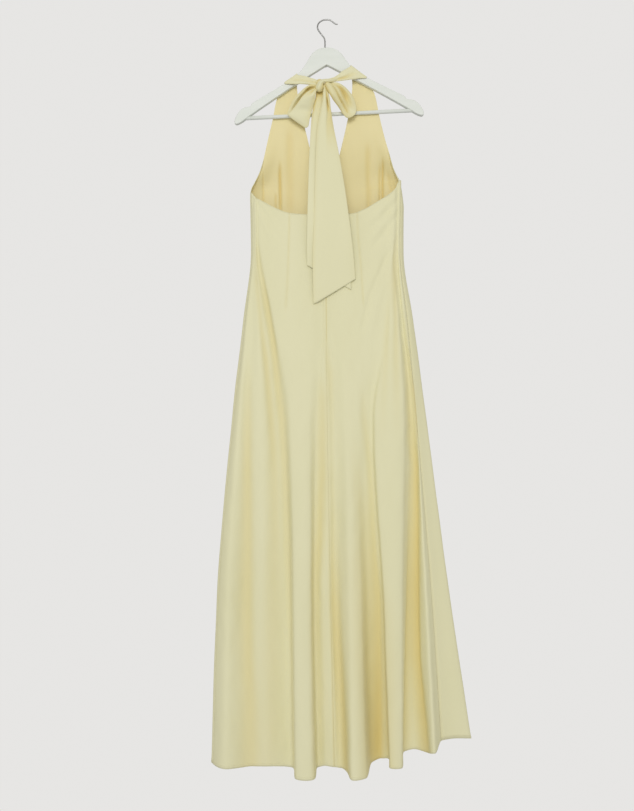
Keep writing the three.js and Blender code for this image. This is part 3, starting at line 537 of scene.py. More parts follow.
def crease_depth(points, creases):
    """How far the creases move each point along its outward direction."""
    flat = points[..., [0, 2]]
    depth = np.zeros(points.shape[:2])
    for crease in creases:
        run = np.array(crease["run"], float)
        lengths = np.concatenate([[0], np.cumsum(np.linalg.norm(np.diff(run, axis=0), axis=1))])
        nearest, along = np.full(depth.shape, 1e9), np.zeros(depth.shape)
        for k in range(len(run) - 1):
            way = run[k + 1] - run[k]
            t = np.clip(((flat - run[k]) @ way) / (way @ way), 0, 1)
            away = np.linalg.norm(flat - run[k] - t[..., None] * way, axis=-1)
            closer = away < nearest
            along = np.where(closer, lengths[k] + t * (lengths[k + 1] - lengths[k]), along)
            nearest = np.minimum(nearest, away)
        ends = min(crease.get("fade", 40), lengths[-1] / 2)
        fade = np.clip(along / ends, 0, 1) * np.clip((lengths[-1] - along) / ends, 0, 1)
        depth += crease["out"] * fade * fade * (3 - 2 * fade) * np.exp(-(nearest / crease["width"]) ** 2)
    return depth


def outward_of(grid):
    """Unit normals of a grid of points whose rows run down and whose columns run to the right."""
    down = np.gradient(grid, axis=0)
    along = np.gradient(grid, axis=1)
    normal = np.cross(down, along)
    return normal / np.maximum(np.linalg.norm(normal, axis=-1, keepdims=True), 1e-12)


def slow_waves(points, seed, size, across, down):
    """Slight unevenness of hanging cloth: a few long waves at random places, of one height."""
    chance = np.random.default_rng(seed)
    total = np.zeros(points.shape[:2])
    for _ in range(14):
        kx = 2 * math.pi / (across * chance.uniform(0.6, 1.8))
        kz = 2 * math.pi / (down * chance.uniform(0.6, 1.8)) * chance.choice([-1, 1])
        total += np.sin(kx * points[..., 0] + kz * points[..., 2] + chance.uniform(0, 2 * math.pi))
    return total / 14**0.5 * size


def cloth_shell(name, grids, finishes, folds=None):
    """A closed sheet from grids of outer and inner points. Grids that touch share their edges. folds gives
    each point's painted shade, kept as an attribute that darkens the cloth's colour in folds and creases."""
    outer = np.vstack([grid.reshape(-1, 3) for grid, _ in grids])
    inner = np.vstack([grid.reshape(-1, 3) for _, grid in grids])
    faces = []
    start = 0
    for grid, _ in grids:
        rows, columns = grid.shape[:2]
        ids = start + np.arange(rows * columns).reshape(rows, columns)
        faces.append(np.stack([ids[:-1, :-1], ids[1:, :-1], ids[1:, 1:], ids[:-1, 1:]], -1).reshape(-1, 4))
        start += rows * columns
    faces = np.vstack(faces)
    keys = np.round(outer, 3)
    _, first, same = np.unique(keys, axis=0, return_index=True, return_inverse=True)
    same = first[same.reshape(-1)]
    faces = same[faces]
    shift = len(outer)
    edges = {}
    for a, b, c, d in faces:
        for p, q in ((a, b), (b, c), (c, d), (d, a)):
            edges[(p, q)] = True
    rim = [(q, p, p + shift, q + shift) for p, q in edges if (q, p) not in edges and p != q]
    back = faces[:, ::-1] + shift
    everything = [tuple(face) for face in faces] + [tuple(face) for face in back] + rim
    piece = new_piece(name, np.vstack([outer, inner]) * MM, everything)
    fold_painted_shade = piece.data.attributes.new("fold_painted_shade", "FLOAT", "POINT")
    if folds is not None:
        deep = np.concatenate([grid.reshape(-1) for grid in folds])
        fold_painted_shade.data.foreach_set("value", np.concatenate([deep, deep]).astype(np.float32))
    shape = bmesh.new()
    shape.from_mesh(piece.data)
    bmesh.ops.delete(shape, geom=[v for v in shape.verts if not v.link_faces], context="VERTS")
    shape.to_mesh(piece.data)
    shape.free()
    for finish in finishes:
        piece.data.materials.append(finish)
    slots = np.zeros(len(piece.data.polygons), dtype=np.int32)
    slots[len(faces):2 * len(faces)] = len(finishes) - 1
    piece.data.polygons.foreach_set("material_index", slots)
    return piece


def paint_shade_in_folds(material):
    """Painted shade: the cloth's colour turns darker and more golden where its painted shade attribute is
    high.
    """
    nodes, links = material.node_tree.nodes, material.node_tree.links
    base = nodes["Principled BSDF"].inputs["Base Color"]
    plain = base.links[0].from_socket
    depth = nodes.new("ShaderNodeAttribute")
    depth.attribute_name = "fold_painted_shade"
    halve = nodes.new("ShaderNodeMapRange")
    halve.inputs["From Max"].default_value = 2
    shade_ramp = nodes.new("ShaderNodeValToRGB")
    shade_ramp.color_ramp.elements[0].color = (1, 1, 1, 1)
    shade_ramp.color_ramp.elements[1].color = (0.58, 0.46, 0.20, 1)
    shade_ramp.color_ramp.elements.new(0.25).color = (0.96, 0.90, 0.745, 1)
    shade_ramp.color_ramp.elements.new(0.5).color = (0.94, 0.81, 0.52, 1)
    shaded_colour = nodes.new("ShaderNodeMix")
    shaded_colour.data_type, shaded_colour.blend_type = "RGBA", "MULTIPLY"
    shaded_colour.inputs[0].default_value = 1
    links.new(depth.outputs["Fac"], halve.inputs["Value"])
    links.new(halve.outputs["Result"], shade_ramp.inputs["Fac"])
    links.new(plain, shaded_colour.inputs[6])
    links.new(shade_ramp.outputs["Color"], shaded_colour.inputs[7])
    links.new(shaded_colour.outputs[2], base)


crepe_face = finish_material("crepe_face", 0.8)
noise_colour(crepe_face, (0.783, 0.756, 0.492), (0.808, 0.780, 0.522), 9, 5, (1, 1, 0.4))
paint_shade_in_folds(crepe_face)
grain_bump(crepe_face, 1500, 0.35, 0.0002, (1, 1, 1))
crepe_shader = crepe_face.node_tree.nodes["Principled BSDF"]
crepe_shader.inputs["Specular IOR Level"].default_value = 0.25
crepe_shader.inputs["Sheen Weight"].default_value = 0.3
crepe_shader.inputs["Sheen Roughness"].default_value = 0.4
crepe_shader.inputs["Sheen Tint"].default_value = (1.0, 0.96, 0.7, 1.0)
satin_inside = finish_material("satin_inside", 0.55)
noise_colour(satin_inside, (0.800, 0.702, 0.360), (0.823, 0.725, 0.385), 9, 5, (1, 1, 0.4))
grain_bump(satin_inside, 1500, 0.2, 0.0001, (1, 1, 0.2))
paint_shade_in_folds(satin_inside)

ROWS_DOWN = 230
STEPS_ROUND = 13
STEPS_BESIDE_DART = 36
STILL_BESIDE_SEAM = 9
HEM = {"stitch_up": 6.5, "groove": 0.5, "groove_width": 1.6, "fold": 0.5, "fold_edge": 0.8}


def near_line(grid, line):
    """Distance of each point of a grid from a line of points, one for each of its rows."""
    return np.linalg.norm(grid - line[:, None], axis=-1)


def steps_of(grid):
    """Lengths of a grid's steps down its columns and across its rows."""
    down = np.linalg.norm(np.diff(grid, axis=0), axis=-1)
    wide = np.linalg.norm(np.diff(grid, axis=1), axis=-1)
    return down, wide


def add_seam_allowance(outer, inner, column, beside):
    """Turns the edge of a panel in behind its seam."""
    way = outer[:, beside] - outer[:, column]
    way = way / np.maximum(np.linalg.norm(way, axis=-1, keepdims=True), 1e-9)
    edge = outer[:, column] + way * SEAM_GAP / 2
    into = inner[:, column] - outer[:, column]
    into = into / np.maximum(np.linalg.norm(into, axis=-1, keepdims=True), 1e-9)
    outer[:, column] = edge
    inner[:, column] = edge + (way + into) * CLOTH
    turned_outer = edge + into * SEAM_DIP["turned_in"]
    turned_inner = turned_outer + way * CLOTH
    join = (lambda a, b: np.concatenate([b[:, None], a], 1)) if column == 0 else (
        lambda a, b: np.concatenate([a, b[:, None]], 1))
    return join(outer, turned_outer), join(inner, turned_inner)


spans = [STEPS_ROUND] * RIGHT_SEAM
spans[LINE_NAMES.index("flute one, left edge")] = STEPS_BESIDE_DART
back_places = np.concatenate([k + np.arange(steps) / steps for k, steps in enumerate(spans)] + [[RIGHT_SEAM]])
columns = []
for s in back_places:
    top, hem = back_top(s), hem_z(s)
    columns.append(place(s, top + (hem - top) * np.linspace(0, 1, ROWS_DOWN)))
back = np.stack(columns, axis=1)
centre_column = sum(spans[:CENTRE_BACK])
up_from_hem = back[..., 2] - back[-1:, :, 2]
skirt = np.clip((-620 - back[..., 2]) / 400, 0, 1)
to_side = np.minimum(near_line(back, back[:, 0]), near_line(back, back[:, -1]))
from_seam = np.clip(to_side / STILL_BESIDE_SEAM, 0, 1)
ease = from_seam**2 * (3 - 2 * from_seam)
folds = fold_share(back) * ease
move = crease_depth(back, BACK_CREASES) - folds * FOLD_DEPTH
move += slow_waves(back, 4, 0.5, 60, 500) * skirt + slow_waves(back, 8, 0.25, 35, 90)
move *= ease
move += HEM["fold"] / (1 + np.exp((up_from_hem - HEM["stitch_up"]) / HEM["fold_edge"]))
move -= HEM["groove"] * np.exp(-((up_from_hem - HEM["stitch_up"]) / HEM["groove_width"]) ** 2)
to_centre = near_line(back, back[:, centre_column])
for away, deep in ((to_side, SEAM_DIP["deep"] * 0.6), (to_centre, SEAM_DIP["deep"] * 0.7)):
    move -= deep * np.exp(-(away / SEAM_DIP["half_width"]) ** 2)
# Painted shade, added to the folds' own: along the darts, along the side seams, and along the centre seam,
# deeper over the zip and towards the hem.
darts = [dict(dart, out=0.24, width=2.2) for dart in BACK_CREASES if "seam" in dart]
ZIP_COVERED_TO = -735
over_zip = np.clip((back[..., 2] - ZIP_COVERED_TO) / 15, 0, 1)
seam_painted_shade = 0.08 + 0.34 * over_zip + 0.22 * np.clip((-1300 - back[..., 2]) / 250, 0, 1)
centre_width = 3 - 1.4 * over_zip
folds = folds + 0.10 * np.exp(-(to_side / 4) ** 2) + seam_painted_shade * np.exp(-(to_centre / centre_width) ** 2)
folds = folds + crease_depth(back, darts)
back_outer = back + outward_of(back) * move[..., None]
back_inner = back_outer - outward_of(back_outer) * CLOTH

back_grids = {}
for name, start, end in (("back_left", 0, centre_column), ("back_right", centre_column, back.shape[1] - 1)):
    span = slice(start, end + 1)
    outer, inner, deep = back_outer[:, span].copy(), back_inner[:, span].copy(), folds[:, span]
    back_grids[name] = outer.copy()
    outer, inner = add_seam_allowance(outer, inner, 0, 1)
    outer, inner = add_seam_allowance(outer, inner, -1, -2)
    deep = np.concatenate([deep[:, :1], deep, deep[:, -1:]], axis=1)
    panel = cloth_shell(name + "_cloth", [(outer, inner)], [crepe_face, satin_inside], [deep])
    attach(panel, BODY)
    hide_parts(name)
    down, wide = steps_of(outer)


# Front of the dress: one full-length panel that rises each side of a deep V neck into the halter. Its satin
# inside shows above the low back, with the soft folds that the bust's shaping leaves there.
HALTER = {
    "left": [
        ((-98.5, 8, -157), (-65.5, 8, -136)), ((-109.5, 7.5, -173), (-63.5, 7.5, -166)),
        ((-120, 6.5, -222), (-52, 6.5, -221)), ((-130.5, 9, -265), (-38, 12, -278)),
        ((-140.5, 10, -309), (-26, 19, -329)), ((-151, 9, -344), (-17, 23, -365)),
        ((-161.5, 6, -367), (-10, 26, -390)),
    ],
    "right": [
        ((98, 8, -142), (60, 8, -120)), ((110.5, 7.5, -161), (61, 7.5, -153)),
        ((124, 6.5, -221), (51, 6.5, -221)), ((136, 9, -267), (38, 12, -278)),
        ((147, 9, -303), (25, 19, -329)), ((156.5, 7, -336), (17, 23, -365)),
        ((162, 3, -352), (10, 26, -390)),
    ],
}
UNDERARM_CORNER = {"left": (-169.5, 2, -385), "right": (166, -2, -364)}
NECK_CORNER = {"left": (-7, 28, -412), "right": (7, 28, -412)}
HALTER_CREASES = [
    {"name": "right crease beside the armhole", "width": 2.6, "out": 3.6, "fade": 30,
     "run": [(130, -300), (132, -330), (132.5, -403), (132, -430)]},
    {"name": "right crease, inner", "width": 2.4, "out": 2.4, "fade": 30,
     "run": [(124.5, -310), (125.5, -340), (126, -430)]},
    {"name": "soft fold over the right bust", "width": 6, "out": 1.6, "fade": 40,
     "run": [(97, -262), (98, -320), (100, -372), (101, -450)]},
    {"name": "right drag to the armhole", "width": 4, "out": 1.2, "fade": 25,
     "run": [(142, -330), (149, -372), (158, -400)]},
    {"name": "right drag to the armhole, outer", "width": 4, "out": 1.2, "fade": 20,
     "run": [(152, -345), (158, -372), (164, -392)]},
    {"name": "fold over the left bust", "width": 3.4, "out": 3.4, "fade": 45,
     "run": [(-103, -304), (-105, -345), (-104, -400), (-104, -450)]},
    {"name": "left crease beside the armhole", "width": 2.2, "out": 1.8, "fade": 30,
     "run": [(-142, -330), (-143.5, -370), (-143.5, -430)]},
    {"name": "left crease at the back's edge", "width": 2.2, "out": 1.8, "fade": 15,
     "run": [(-114.5, -380), (-114.5, -440)]},
    {"name": "soft fold beside the left bust", "width": 9, "out": 1.3, "fade": 40,
     "run": [(-81, -230), (-82, -330), (-80, -450)]},
]

FRONT_ROWS = 125
FRONT_COLUMNS = 96
ROWS_A_STEP = 12
# Shares of the way from the corners to the hem: where the skirt's rows begin, and how far the neck point's
# height eases into theirs.
FIRST_ROW = 0.036
NECK_EASE = 0.069
# How the halter takes on the back's roundness near the underarm corner: over what height in the middle, how
# much less beside the seam, over what share of the width, and how closely its columns follow the corner's.
CORNER_ROUND = {"height": 70, "less_at_seam": 34, "width": 0.2, "follow": 0.6, "least": 0.03}
CENTRE_DROP = 32
# How much painted shade the halter's creases add.
CREASE_PAINTED_SHADE = 0.24


def front_half(side):
    seam = COUNT if side == "left" else RIGHT_SEAM
    share = np.linspace(0, 1, 400)
    rim = np.stack([place(seam + (CENTRE_FRONT - seam) * part, CORNER_Z[side])[0] for part in share])
    along = np.append(0, np.cumsum(np.linalg.norm(np.diff(rim, axis=0), axis=1)))
    share = np.interp(np.linspace(0, along[-1], FRONT_COLUMNS), along, share)
    share = share[::-1] if side == "left" else share
    places = seam + (CENTRE_FRONT - seam) * share
    parts = FIRST_ROW + (1 - FIRST_ROW) * np.linspace(0, 1, FRONT_ROWS) ** 1.1
    easing = np.clip((parts - FIRST_ROW) / NECK_EASE, 0, 1)
    columns = []
    for s, away in zip(places, share):
        side_z = CORNER_Z[side] + (hem_z(seam) - CORNER_Z[side]) * parts
        centre_z = (UNDERARM_Z - CENTRE_DROP) + (hem_z(s) - UNDERARM_Z + CENTRE_DROP) * parts
        centre_z += (1 - easing * easing * (3 - 2 * easing)) * (NECK_POINT_Z - centre_z[0])
        columns.append(place(s, side_z + (centre_z - side_z) * away))
    lower = np.stack(columns, axis=1)
    first = lower[0]
    seam_end, centre_end = (-1, 0) if side == "left" else (0, -1)
    span = first[centre_end, 0] - first[seam_end, 0]
    raw = (first[:, 0] - first[seam_end, 0]) / span
    across = np.maximum(raw, CORNER_ROUND["least"] * share)
    rows = HALTER[side] + [(UNDERARM_CORNER[side], NECK_CORNER[side])]
    upper = []
    beside_seam = np.exp(-(across / CORNER_ROUND["width"]) ** 2)
    reach = CORNER_ROUND["height"] - CORNER_ROUND["less_at_seam"] * beside_seam
    for arm, neck in rows:
        rounded = np.exp(-((arm[2] - CORNER_Z[side]) / reach) ** 2)
        shift = across + CORNER_ROUND["follow"] * (raw - across) * rounded
        line = np.array(arm) + (np.array(neck) - np.array(arm)) * shift[:, None]
        flat = first[seam_end, 1] + (first[centre_end, 1] - first[seam_end, 1]) * across
        line[:, 1] += (first[:, 1] - flat) * rounded
        upper.append(line)
    knots = np.stack([*upper, lower[0], lower[8]])
    shares = np.linspace(0, len(rows), len(rows) * ROWS_A_STEP + 1)[:-1] / (len(knots) - 1)
    top = np.stack([spline(knots[:, j], shares) for j in range(len(places))], axis=1)
    grid = np.vstack([top, lower])
    outward = outward_of(grid)
    up = grid[..., 2] - grid[-1:, :, 2]
    move = crease_depth(grid, HALTER_CREASES) + slow_waves(grid, 11, 0.35, 60, 300)
    move += HEM["fold"] / (1 + np.exp((up - HEM["stitch_up"]) / HEM["fold_edge"]))
    move -= HEM["groove"] * np.exp(-((up - HEM["stitch_up"]) / HEM["groove_width"]) ** 2)
    away = near_line(grid, grid[:, seam_end])
    below_corner = np.clip((CORNER_Z[side] - 2 - grid[..., 2]) / 10, 0, 1)
    move *= np.where(below_corner > 0, np.clip(away / STILL_BESIDE_SEAM, 0, 1), 1)
    move -= SEAM_DIP["deep"] * 0.6 * np.exp(-(away / SEAM_DIP["half_width"]) ** 2) * below_corner
    outer = grid + outward * move[..., None]
    # Painted shade beside the side seam below the underarm corner, a little over the whole right half, and
    # along the halter's creases.
    deep = (0.08 * np.exp(-(away / 4) ** 2) + (0.02 if side == "right" else 0)) * below_corner
    deep = deep + np.clip(CREASE_PAINTED_SHADE * crease_depth(grid, HALTER_CREASES), 0, 1)
    return grid, outer, deep, seam_end, centre_end


front_grids, front_folds = [], []
for side in ("right", "left"):
    grid, outer, deep, seam_end, centre_end = front_half(side)
    low = outer[:, centre_end, 2] <= NECK_POINT_Z + 0.01
    outer[low, centre_end] = grid[low, centre_end]
    inner = outer - outward_of(outer) * CLOTH
    front_grids.append((outer, inner))
    front_folds.append(deep)
front_cloth = cloth_shell("front_cloth", front_grids, [crepe_face, satin_inside], front_folds)
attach(front_cloth, BODY)
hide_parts("front")


# Hem stitches, worked in butter-coloured thread a few millimetres above the turned-up edge.
HEM_STITCH = {"Pitch": 0.0032, "Stitch length": 0.0026, "Thread thickness": 0.0006}
hem_thread = finish_material("hem_thread", 0.55)
noise_colour(hem_thread, (0.66, 0.61, 0.37), (0.72, 0.67, 0.42), 900)
grain_bump(hem_thread, 4000, 0.3, 0.0001)


def row_above_hem(outer, height):
    line = []
    for j in range(outer.shape[1]):
        column = outer[::-1, j]
        z = column[0, 2] + height
        line.append([np.interp(z, column[:, 2], column[:, axis]) for axis in (0, 1)] + [z])
    return np.array(line)


def stitch_tree(name, sizes, thread):
    tree = bpy.data.node_groups.new(name, "GeometryNodeTree")
    tree.interface.new_socket("Geometry", in_out="INPUT", socket_type="NodeSocketGeometry")
    for label, value in sizes.items():
        socket = tree.interface.new_socket(label, in_out="INPUT", socket_type="NodeSocketFloat")
        socket.default_value = value
    tree.interface.new_socket("Geometry", in_out="OUTPUT", socket_type="NodeSocketGeometry")
    add, link = tree.nodes.new, tree.links.new
    group_in, group_out = add("NodeGroupInput"), add("NodeGroupOutput")
    curve, points = add("GeometryNodeMeshToCurve"), add("GeometryNodeCurveToPoints")
    points.mode = "LENGTH"
    bead, place_on = add("GeometryNodeMeshUVSphere"), add("GeometryNodeInstanceOnPoints")
    bead.inputs["Segments"].default_value = 6
    bead.inputs["Rings"].default_value = 4
    bead.inputs["Radius"].default_value = 0.5
    size = add("ShaderNodeCombineXYZ")
    realize, dye = add("GeometryNodeRealizeInstances"), add("GeometryNodeSetMaterial")
    dye.inputs["Material"].default_value = thread
    link(group_in.outputs["Geometry"], curve.inputs["Mesh"])
    link(curve.outputs["Curve"], points.inputs["Curve"])
    link(group_in.outputs["Pitch"], points.inputs["Length"])
    link(points.outputs["Points"], place_on.inputs["Points"])
    link(points.outputs["Rotation"], place_on.inputs["Rotation"])
    link(bead.outputs["Mesh"], place_on.inputs["Instance"])
    link(group_in.outputs["Thread thickness"], size.inputs["X"])
    link(group_in.outputs["Thread thickness"], size.inputs["Y"])
    link(group_in.outputs["Stitch length"], size.inputs["Z"])
    link(size.outputs["Vector"], place_on.inputs["Scale"])
    link(place_on.outputs["Instances"], realize.inputs["Geometry"])
    link(realize.outputs["Geometry"], dye.inputs["Geometry"])
    link(dye.outputs["Geometry"], group_out.inputs["Geometry"])
    return tree


def along_lines(name, lines, tree, sizes):
    """Runs a tree of repeated pieces along lines of points in millimetres and keeps the result as a mesh."""
    points = [tuple(point) for line in lines for point in line * MM]
    edges, start = [], 0
    for line in lines:
        edges += [(start + i, start + i + 1) for i in range(len(line) - 1)]
        start += len(line)
    path_mesh = bpy.data.meshes.new(name + "_line")
    path_mesh.from_pydata(points, edges, [])
    path = bpy.data.objects.new(name + "_line", path_mesh)
    bpy.context.collection.objects.link(path)
    modifier = path.modifiers.new("repeat", "NODES")
    modifier.node_group = tree
    for item in tree.interface.items_tree:
        if item.in_out == "INPUT" and item.name in sizes:
            modifier[item.identifier] = sizes[item.name]
    bpy.context.view_layer.update()
    evaluated = path.evaluated_get(bpy.context.evaluated_depsgraph_get())
    mesh = bpy.data.meshes.new_from_object(evaluated)
    mesh.name = name
    piece = bpy.data.objects.new(name, mesh)
    bpy.context.collection.objects.link(piece)
    bpy.data.objects.remove(path)
    mesh.shade_smooth()
    return piece


hem_lines = []
for outer in (back_grids["back_left"], back_grids["back_right"], front_grids[0][0], front_grids[1][0]):
    hem_lines.append(row_above_hem(outer, HEM["stitch_up"]))
stitches = stitch_tree("topstitch", HEM_STITCH, hem_thread)
hem_stitches = along_lines("hem_stitches", hem_lines, stitches, HEM_STITCH)
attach(hem_stitches, BODY)


# Zip: a woven tape with a nylon coil, sewn behind the centre back seam so that only its slider shows outside.
ZIP_END_Z = -725
COIL = {"Pitch": 0.0016, "Stitch length": 0.0011, "Thread thickness": 0.0030}
TAPE = {"below_cloth": 0.4, "thick": 0.7, "sink": 1.6, "sink_width": 4, "coil_below": 0.55}
tape_weave = finish_material("zip_tape", 0.7)
noise_colour(tape_weave, (0.72, 0.68, 0.42), (0.76, 0.72, 0.46), 300)
grain_bump(tape_weave, 1800, 0.5, 0.0003, (1, 1, 0.5))
coil_nylon = finish_material("zip_coil", 0.35)
noise_colour(coil_nylon, (0.70, 0.66, 0.42), (0.74, 0.70, 0.46), 500)
grain_bump(coil_nylon, 2500, 0.2, 0.0001)
tape_places = CENTRE_BACK + np.array([-2, -1.6, -1.2, -0.8, -0.45, -0.2, 0, 0.2, 0.4, 0.6, 0.8, 1])
tape_middle = list(tape_places).index(CENTRE_BACK)
tape_z = np.linspace(BACK_DIP_Z, ZIP_END_Z, 70)
tape = np.stack([place(s, tape_z) for s in tape_places], axis=1)
tape_out = outward_of(tape)
from_middle = tape[..., 0] - tape[:, tape_middle:tape_middle + 1, 0]
sink = TAPE["sink"] * np.exp(-(from_middle / TAPE["sink_width"]) ** 2)
tape_outer = tape - tape_out * (CLOTH + TAPE["below_cloth"] + sink)[..., None]
tape_inner = tape_outer - tape_out * TAPE["thick"]
zip_tape = cloth_shell("zip_tape_cloth", [(tape_outer, tape_inner)], [tape_weave])
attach(zip_tape, BODY)
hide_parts("zip")
coil_line = tape_inner[:, tape_middle] - tape_out[:, tape_middle] * TAPE["coil_below"]
coil_tree = stitch_tree("zip_coil", COIL, coil_nylon)
zip_coil = along_lines("zip_coil", [coil_line], coil_tree, COIL)
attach(zip_coil, BODY)

zip_metal = finish_material("zip_enamel", 0.32, 0.25)
noise_colour(zip_metal, (0.66, 0.62, 0.42), (0.70, 0.66, 0.46), 220)
grain_bump(zip_metal, 700, 0.12, 0.0001)
for node in ("zip_slider", "zip_pull"):
    metal_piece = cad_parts[node]
    metal_piece.data.materials.clear()
    metal_piece.data.materials.append(zip_metal)


# Straps, bow and tails. The halter's two ends pass over the hanger's arms and are tied behind the neck in a
# bow: two loops and two long tails of doubled crepe, cut at a slant and pleated where the knot grips them.
# Each step along a strap, loop or tail has points from edge to edge: x, y, z and painted shade, 0 to 2, which
# darkens the cloth in folds, inside the loops and under the knot.
STRAP_LEFT = [
    [(-98.5, 7.4, -156.5, 0), (-90, 7.4, -151, 0), (-82, 7.4, -146, 0),
     (-74, 7.4, -141, 0), (-65.5, 7.4, -135.5, 0)],
    [(-95, 7.7, -149, 0), (-87.5, 7.7, -144, 0), (-80, 7.7, -139, 0),
     (-72.5, 7.7, -134, 0), (-65.5, 7.7, -128.5, 0)],
    [(-94, 6.6, -144, 0), (-87, 6.6, -139, 0), (-79.5, 6.6, -134, 0),
     (-72, 6.6, -129, 0), (-65, 6.6, -124, 0)],
    [(-93.5, 0, -142, 0), (-86.5, 0, -137, 0), (-79, 0, -132, 0), (-71.5, 0, -127, 0), (-64.5, 0, -122, 0)],
    [(-93, -6.6, -143.5, 0), (-86, -6.6, -138.5, 0), (-78.5, -6.6, -133.5, 0),
     (-71, -6.6, -128.5, 0), (-64, -6.6, -123.5, 0)],
    [(-92, -8.4, -147, 0.1), (-85, -8.6, -142, 0), (-77.5, -8.6, -137, 0.1),
     (-70.5, -8.6, -131.5, 0), (-63.5, -8.4, -127, 0.1)],
    [(-82.5, -10, -148, 0.15), (-76, -11, -144, 0), (-69, -10, -139, 0.2),
     (-61.5, -11, -134.5, 0.05), (-54.5, -10, -129, 0.1)],
    [(-71, -12.5, -149.5, 0.15), (-64.5, -14.5, -146.5, 0), (-59, -12.8, -140.5, 0.3),
     (-51, -14, -137.5, 0.05), (-43, -12.5, -132.5, 0.1)],
    [(-51, -15.5, -151, 0.2), (-47, -18, -149, 0), (-43, -15.8, -144, 0.3),
     (-37.5, -17, -141.5, 0.1), (-33, -15.5, -137, 0.1)],
    [(-33, -18, -154, 0.4), (-30.5, -20.5, -152, 0.1), (-28.5, -18.5, -147.5, 0.4),
     (-26, -20, -145, 0.1), (-23, -18, -141, 0.2)],
    [(-18, -20, -158, 0.6), (-17.5, -22.5, -155.5, 0.2), (-17, -21, -151.5, 0.5),
     (-16, -22, -148.5, 0.2), (-15, -20, -145, 0.2)],
]
STRAP_RIGHT = [
    [(57, 7.4, -117, 0), (67, 7.4, -123, 0), (77, 7.4, -129.5, 0), (87, 7.4, -135, 0), (98, 7.4, -141.5, 0)],
    [(57, 7.7, -109, 0), (66, 7.7, -115.5, 0), (76, 7.7, -122, 0),
     (86, 7.7, -128.5, 0), (95.5, 7.7, -135, 0)],
    [(57, 6.6, -104.5, 0), (66, 6.6, -111, 0), (75.5, 6.6, -118, 0),
     (85, 6.6, -125, 0), (94.5, 6.6, -131.5, 0)],
    [(57, 0, -102.5, 0), (66, 0, -109, 0), (75, 0, -116, 0), (84.5, 0, -123, 0), (94, 0, -129.5, 0)],
    [(56.5, -6.6, -104.5, 0), (65.5, -6.6, -111, 0), (74.5, -6.6, -118, 0),
     (84, -6.6, -125, 0), (93.5, -6.6, -131.5, 0)],
    [(56.5, -8.2, -107.5, 0.1), (64.5, -8.5, -114.5, 0), (72.5, -8.5, -121, 0),
     (81.5, -8.5, -128, 0), (91.5, -8.2, -134, 0.1)],
    [(47.5, -9.5, -113.5, 0.05), (55, -11.5, -120.5, 0), (62.5, -9.8, -125, 0.2),
     (70.5, -11, -131, 0), (80, -9.3, -135, 0.1)],
    [(37, -11.5, -120.5, 0.05), (45, -14, -127, 0), (51.5, -11.5, -131, 0.45),
     (58.5, -13.5, -136, 0.05), (66.5, -10.8, -137.5, 0.1)],
    [(29, -13.5, -128, 0.05), (34.5, -16, -133, 0.05), (40.5, -12.8, -136, 0.8),
     (45, -15, -139.5, 0.1), (50.5, -13, -140.5, 0.2)],
    [(20, -16, -135, 0.2), (23.5, -18, -138.5, 0.2), (27.5, -15.5, -140, 0.6),
     (30, -17.5, -143, 0.2), (33.5, -16, -144, 0.3)],
    [(5.5, -20, -141, 0.2), (7, -21, -143.5, 0.2), (9, -20, -144.5, 0.4),
     (10.5, -21, -147, 0.3), (12, -20, -148.5, 0.5)],
]
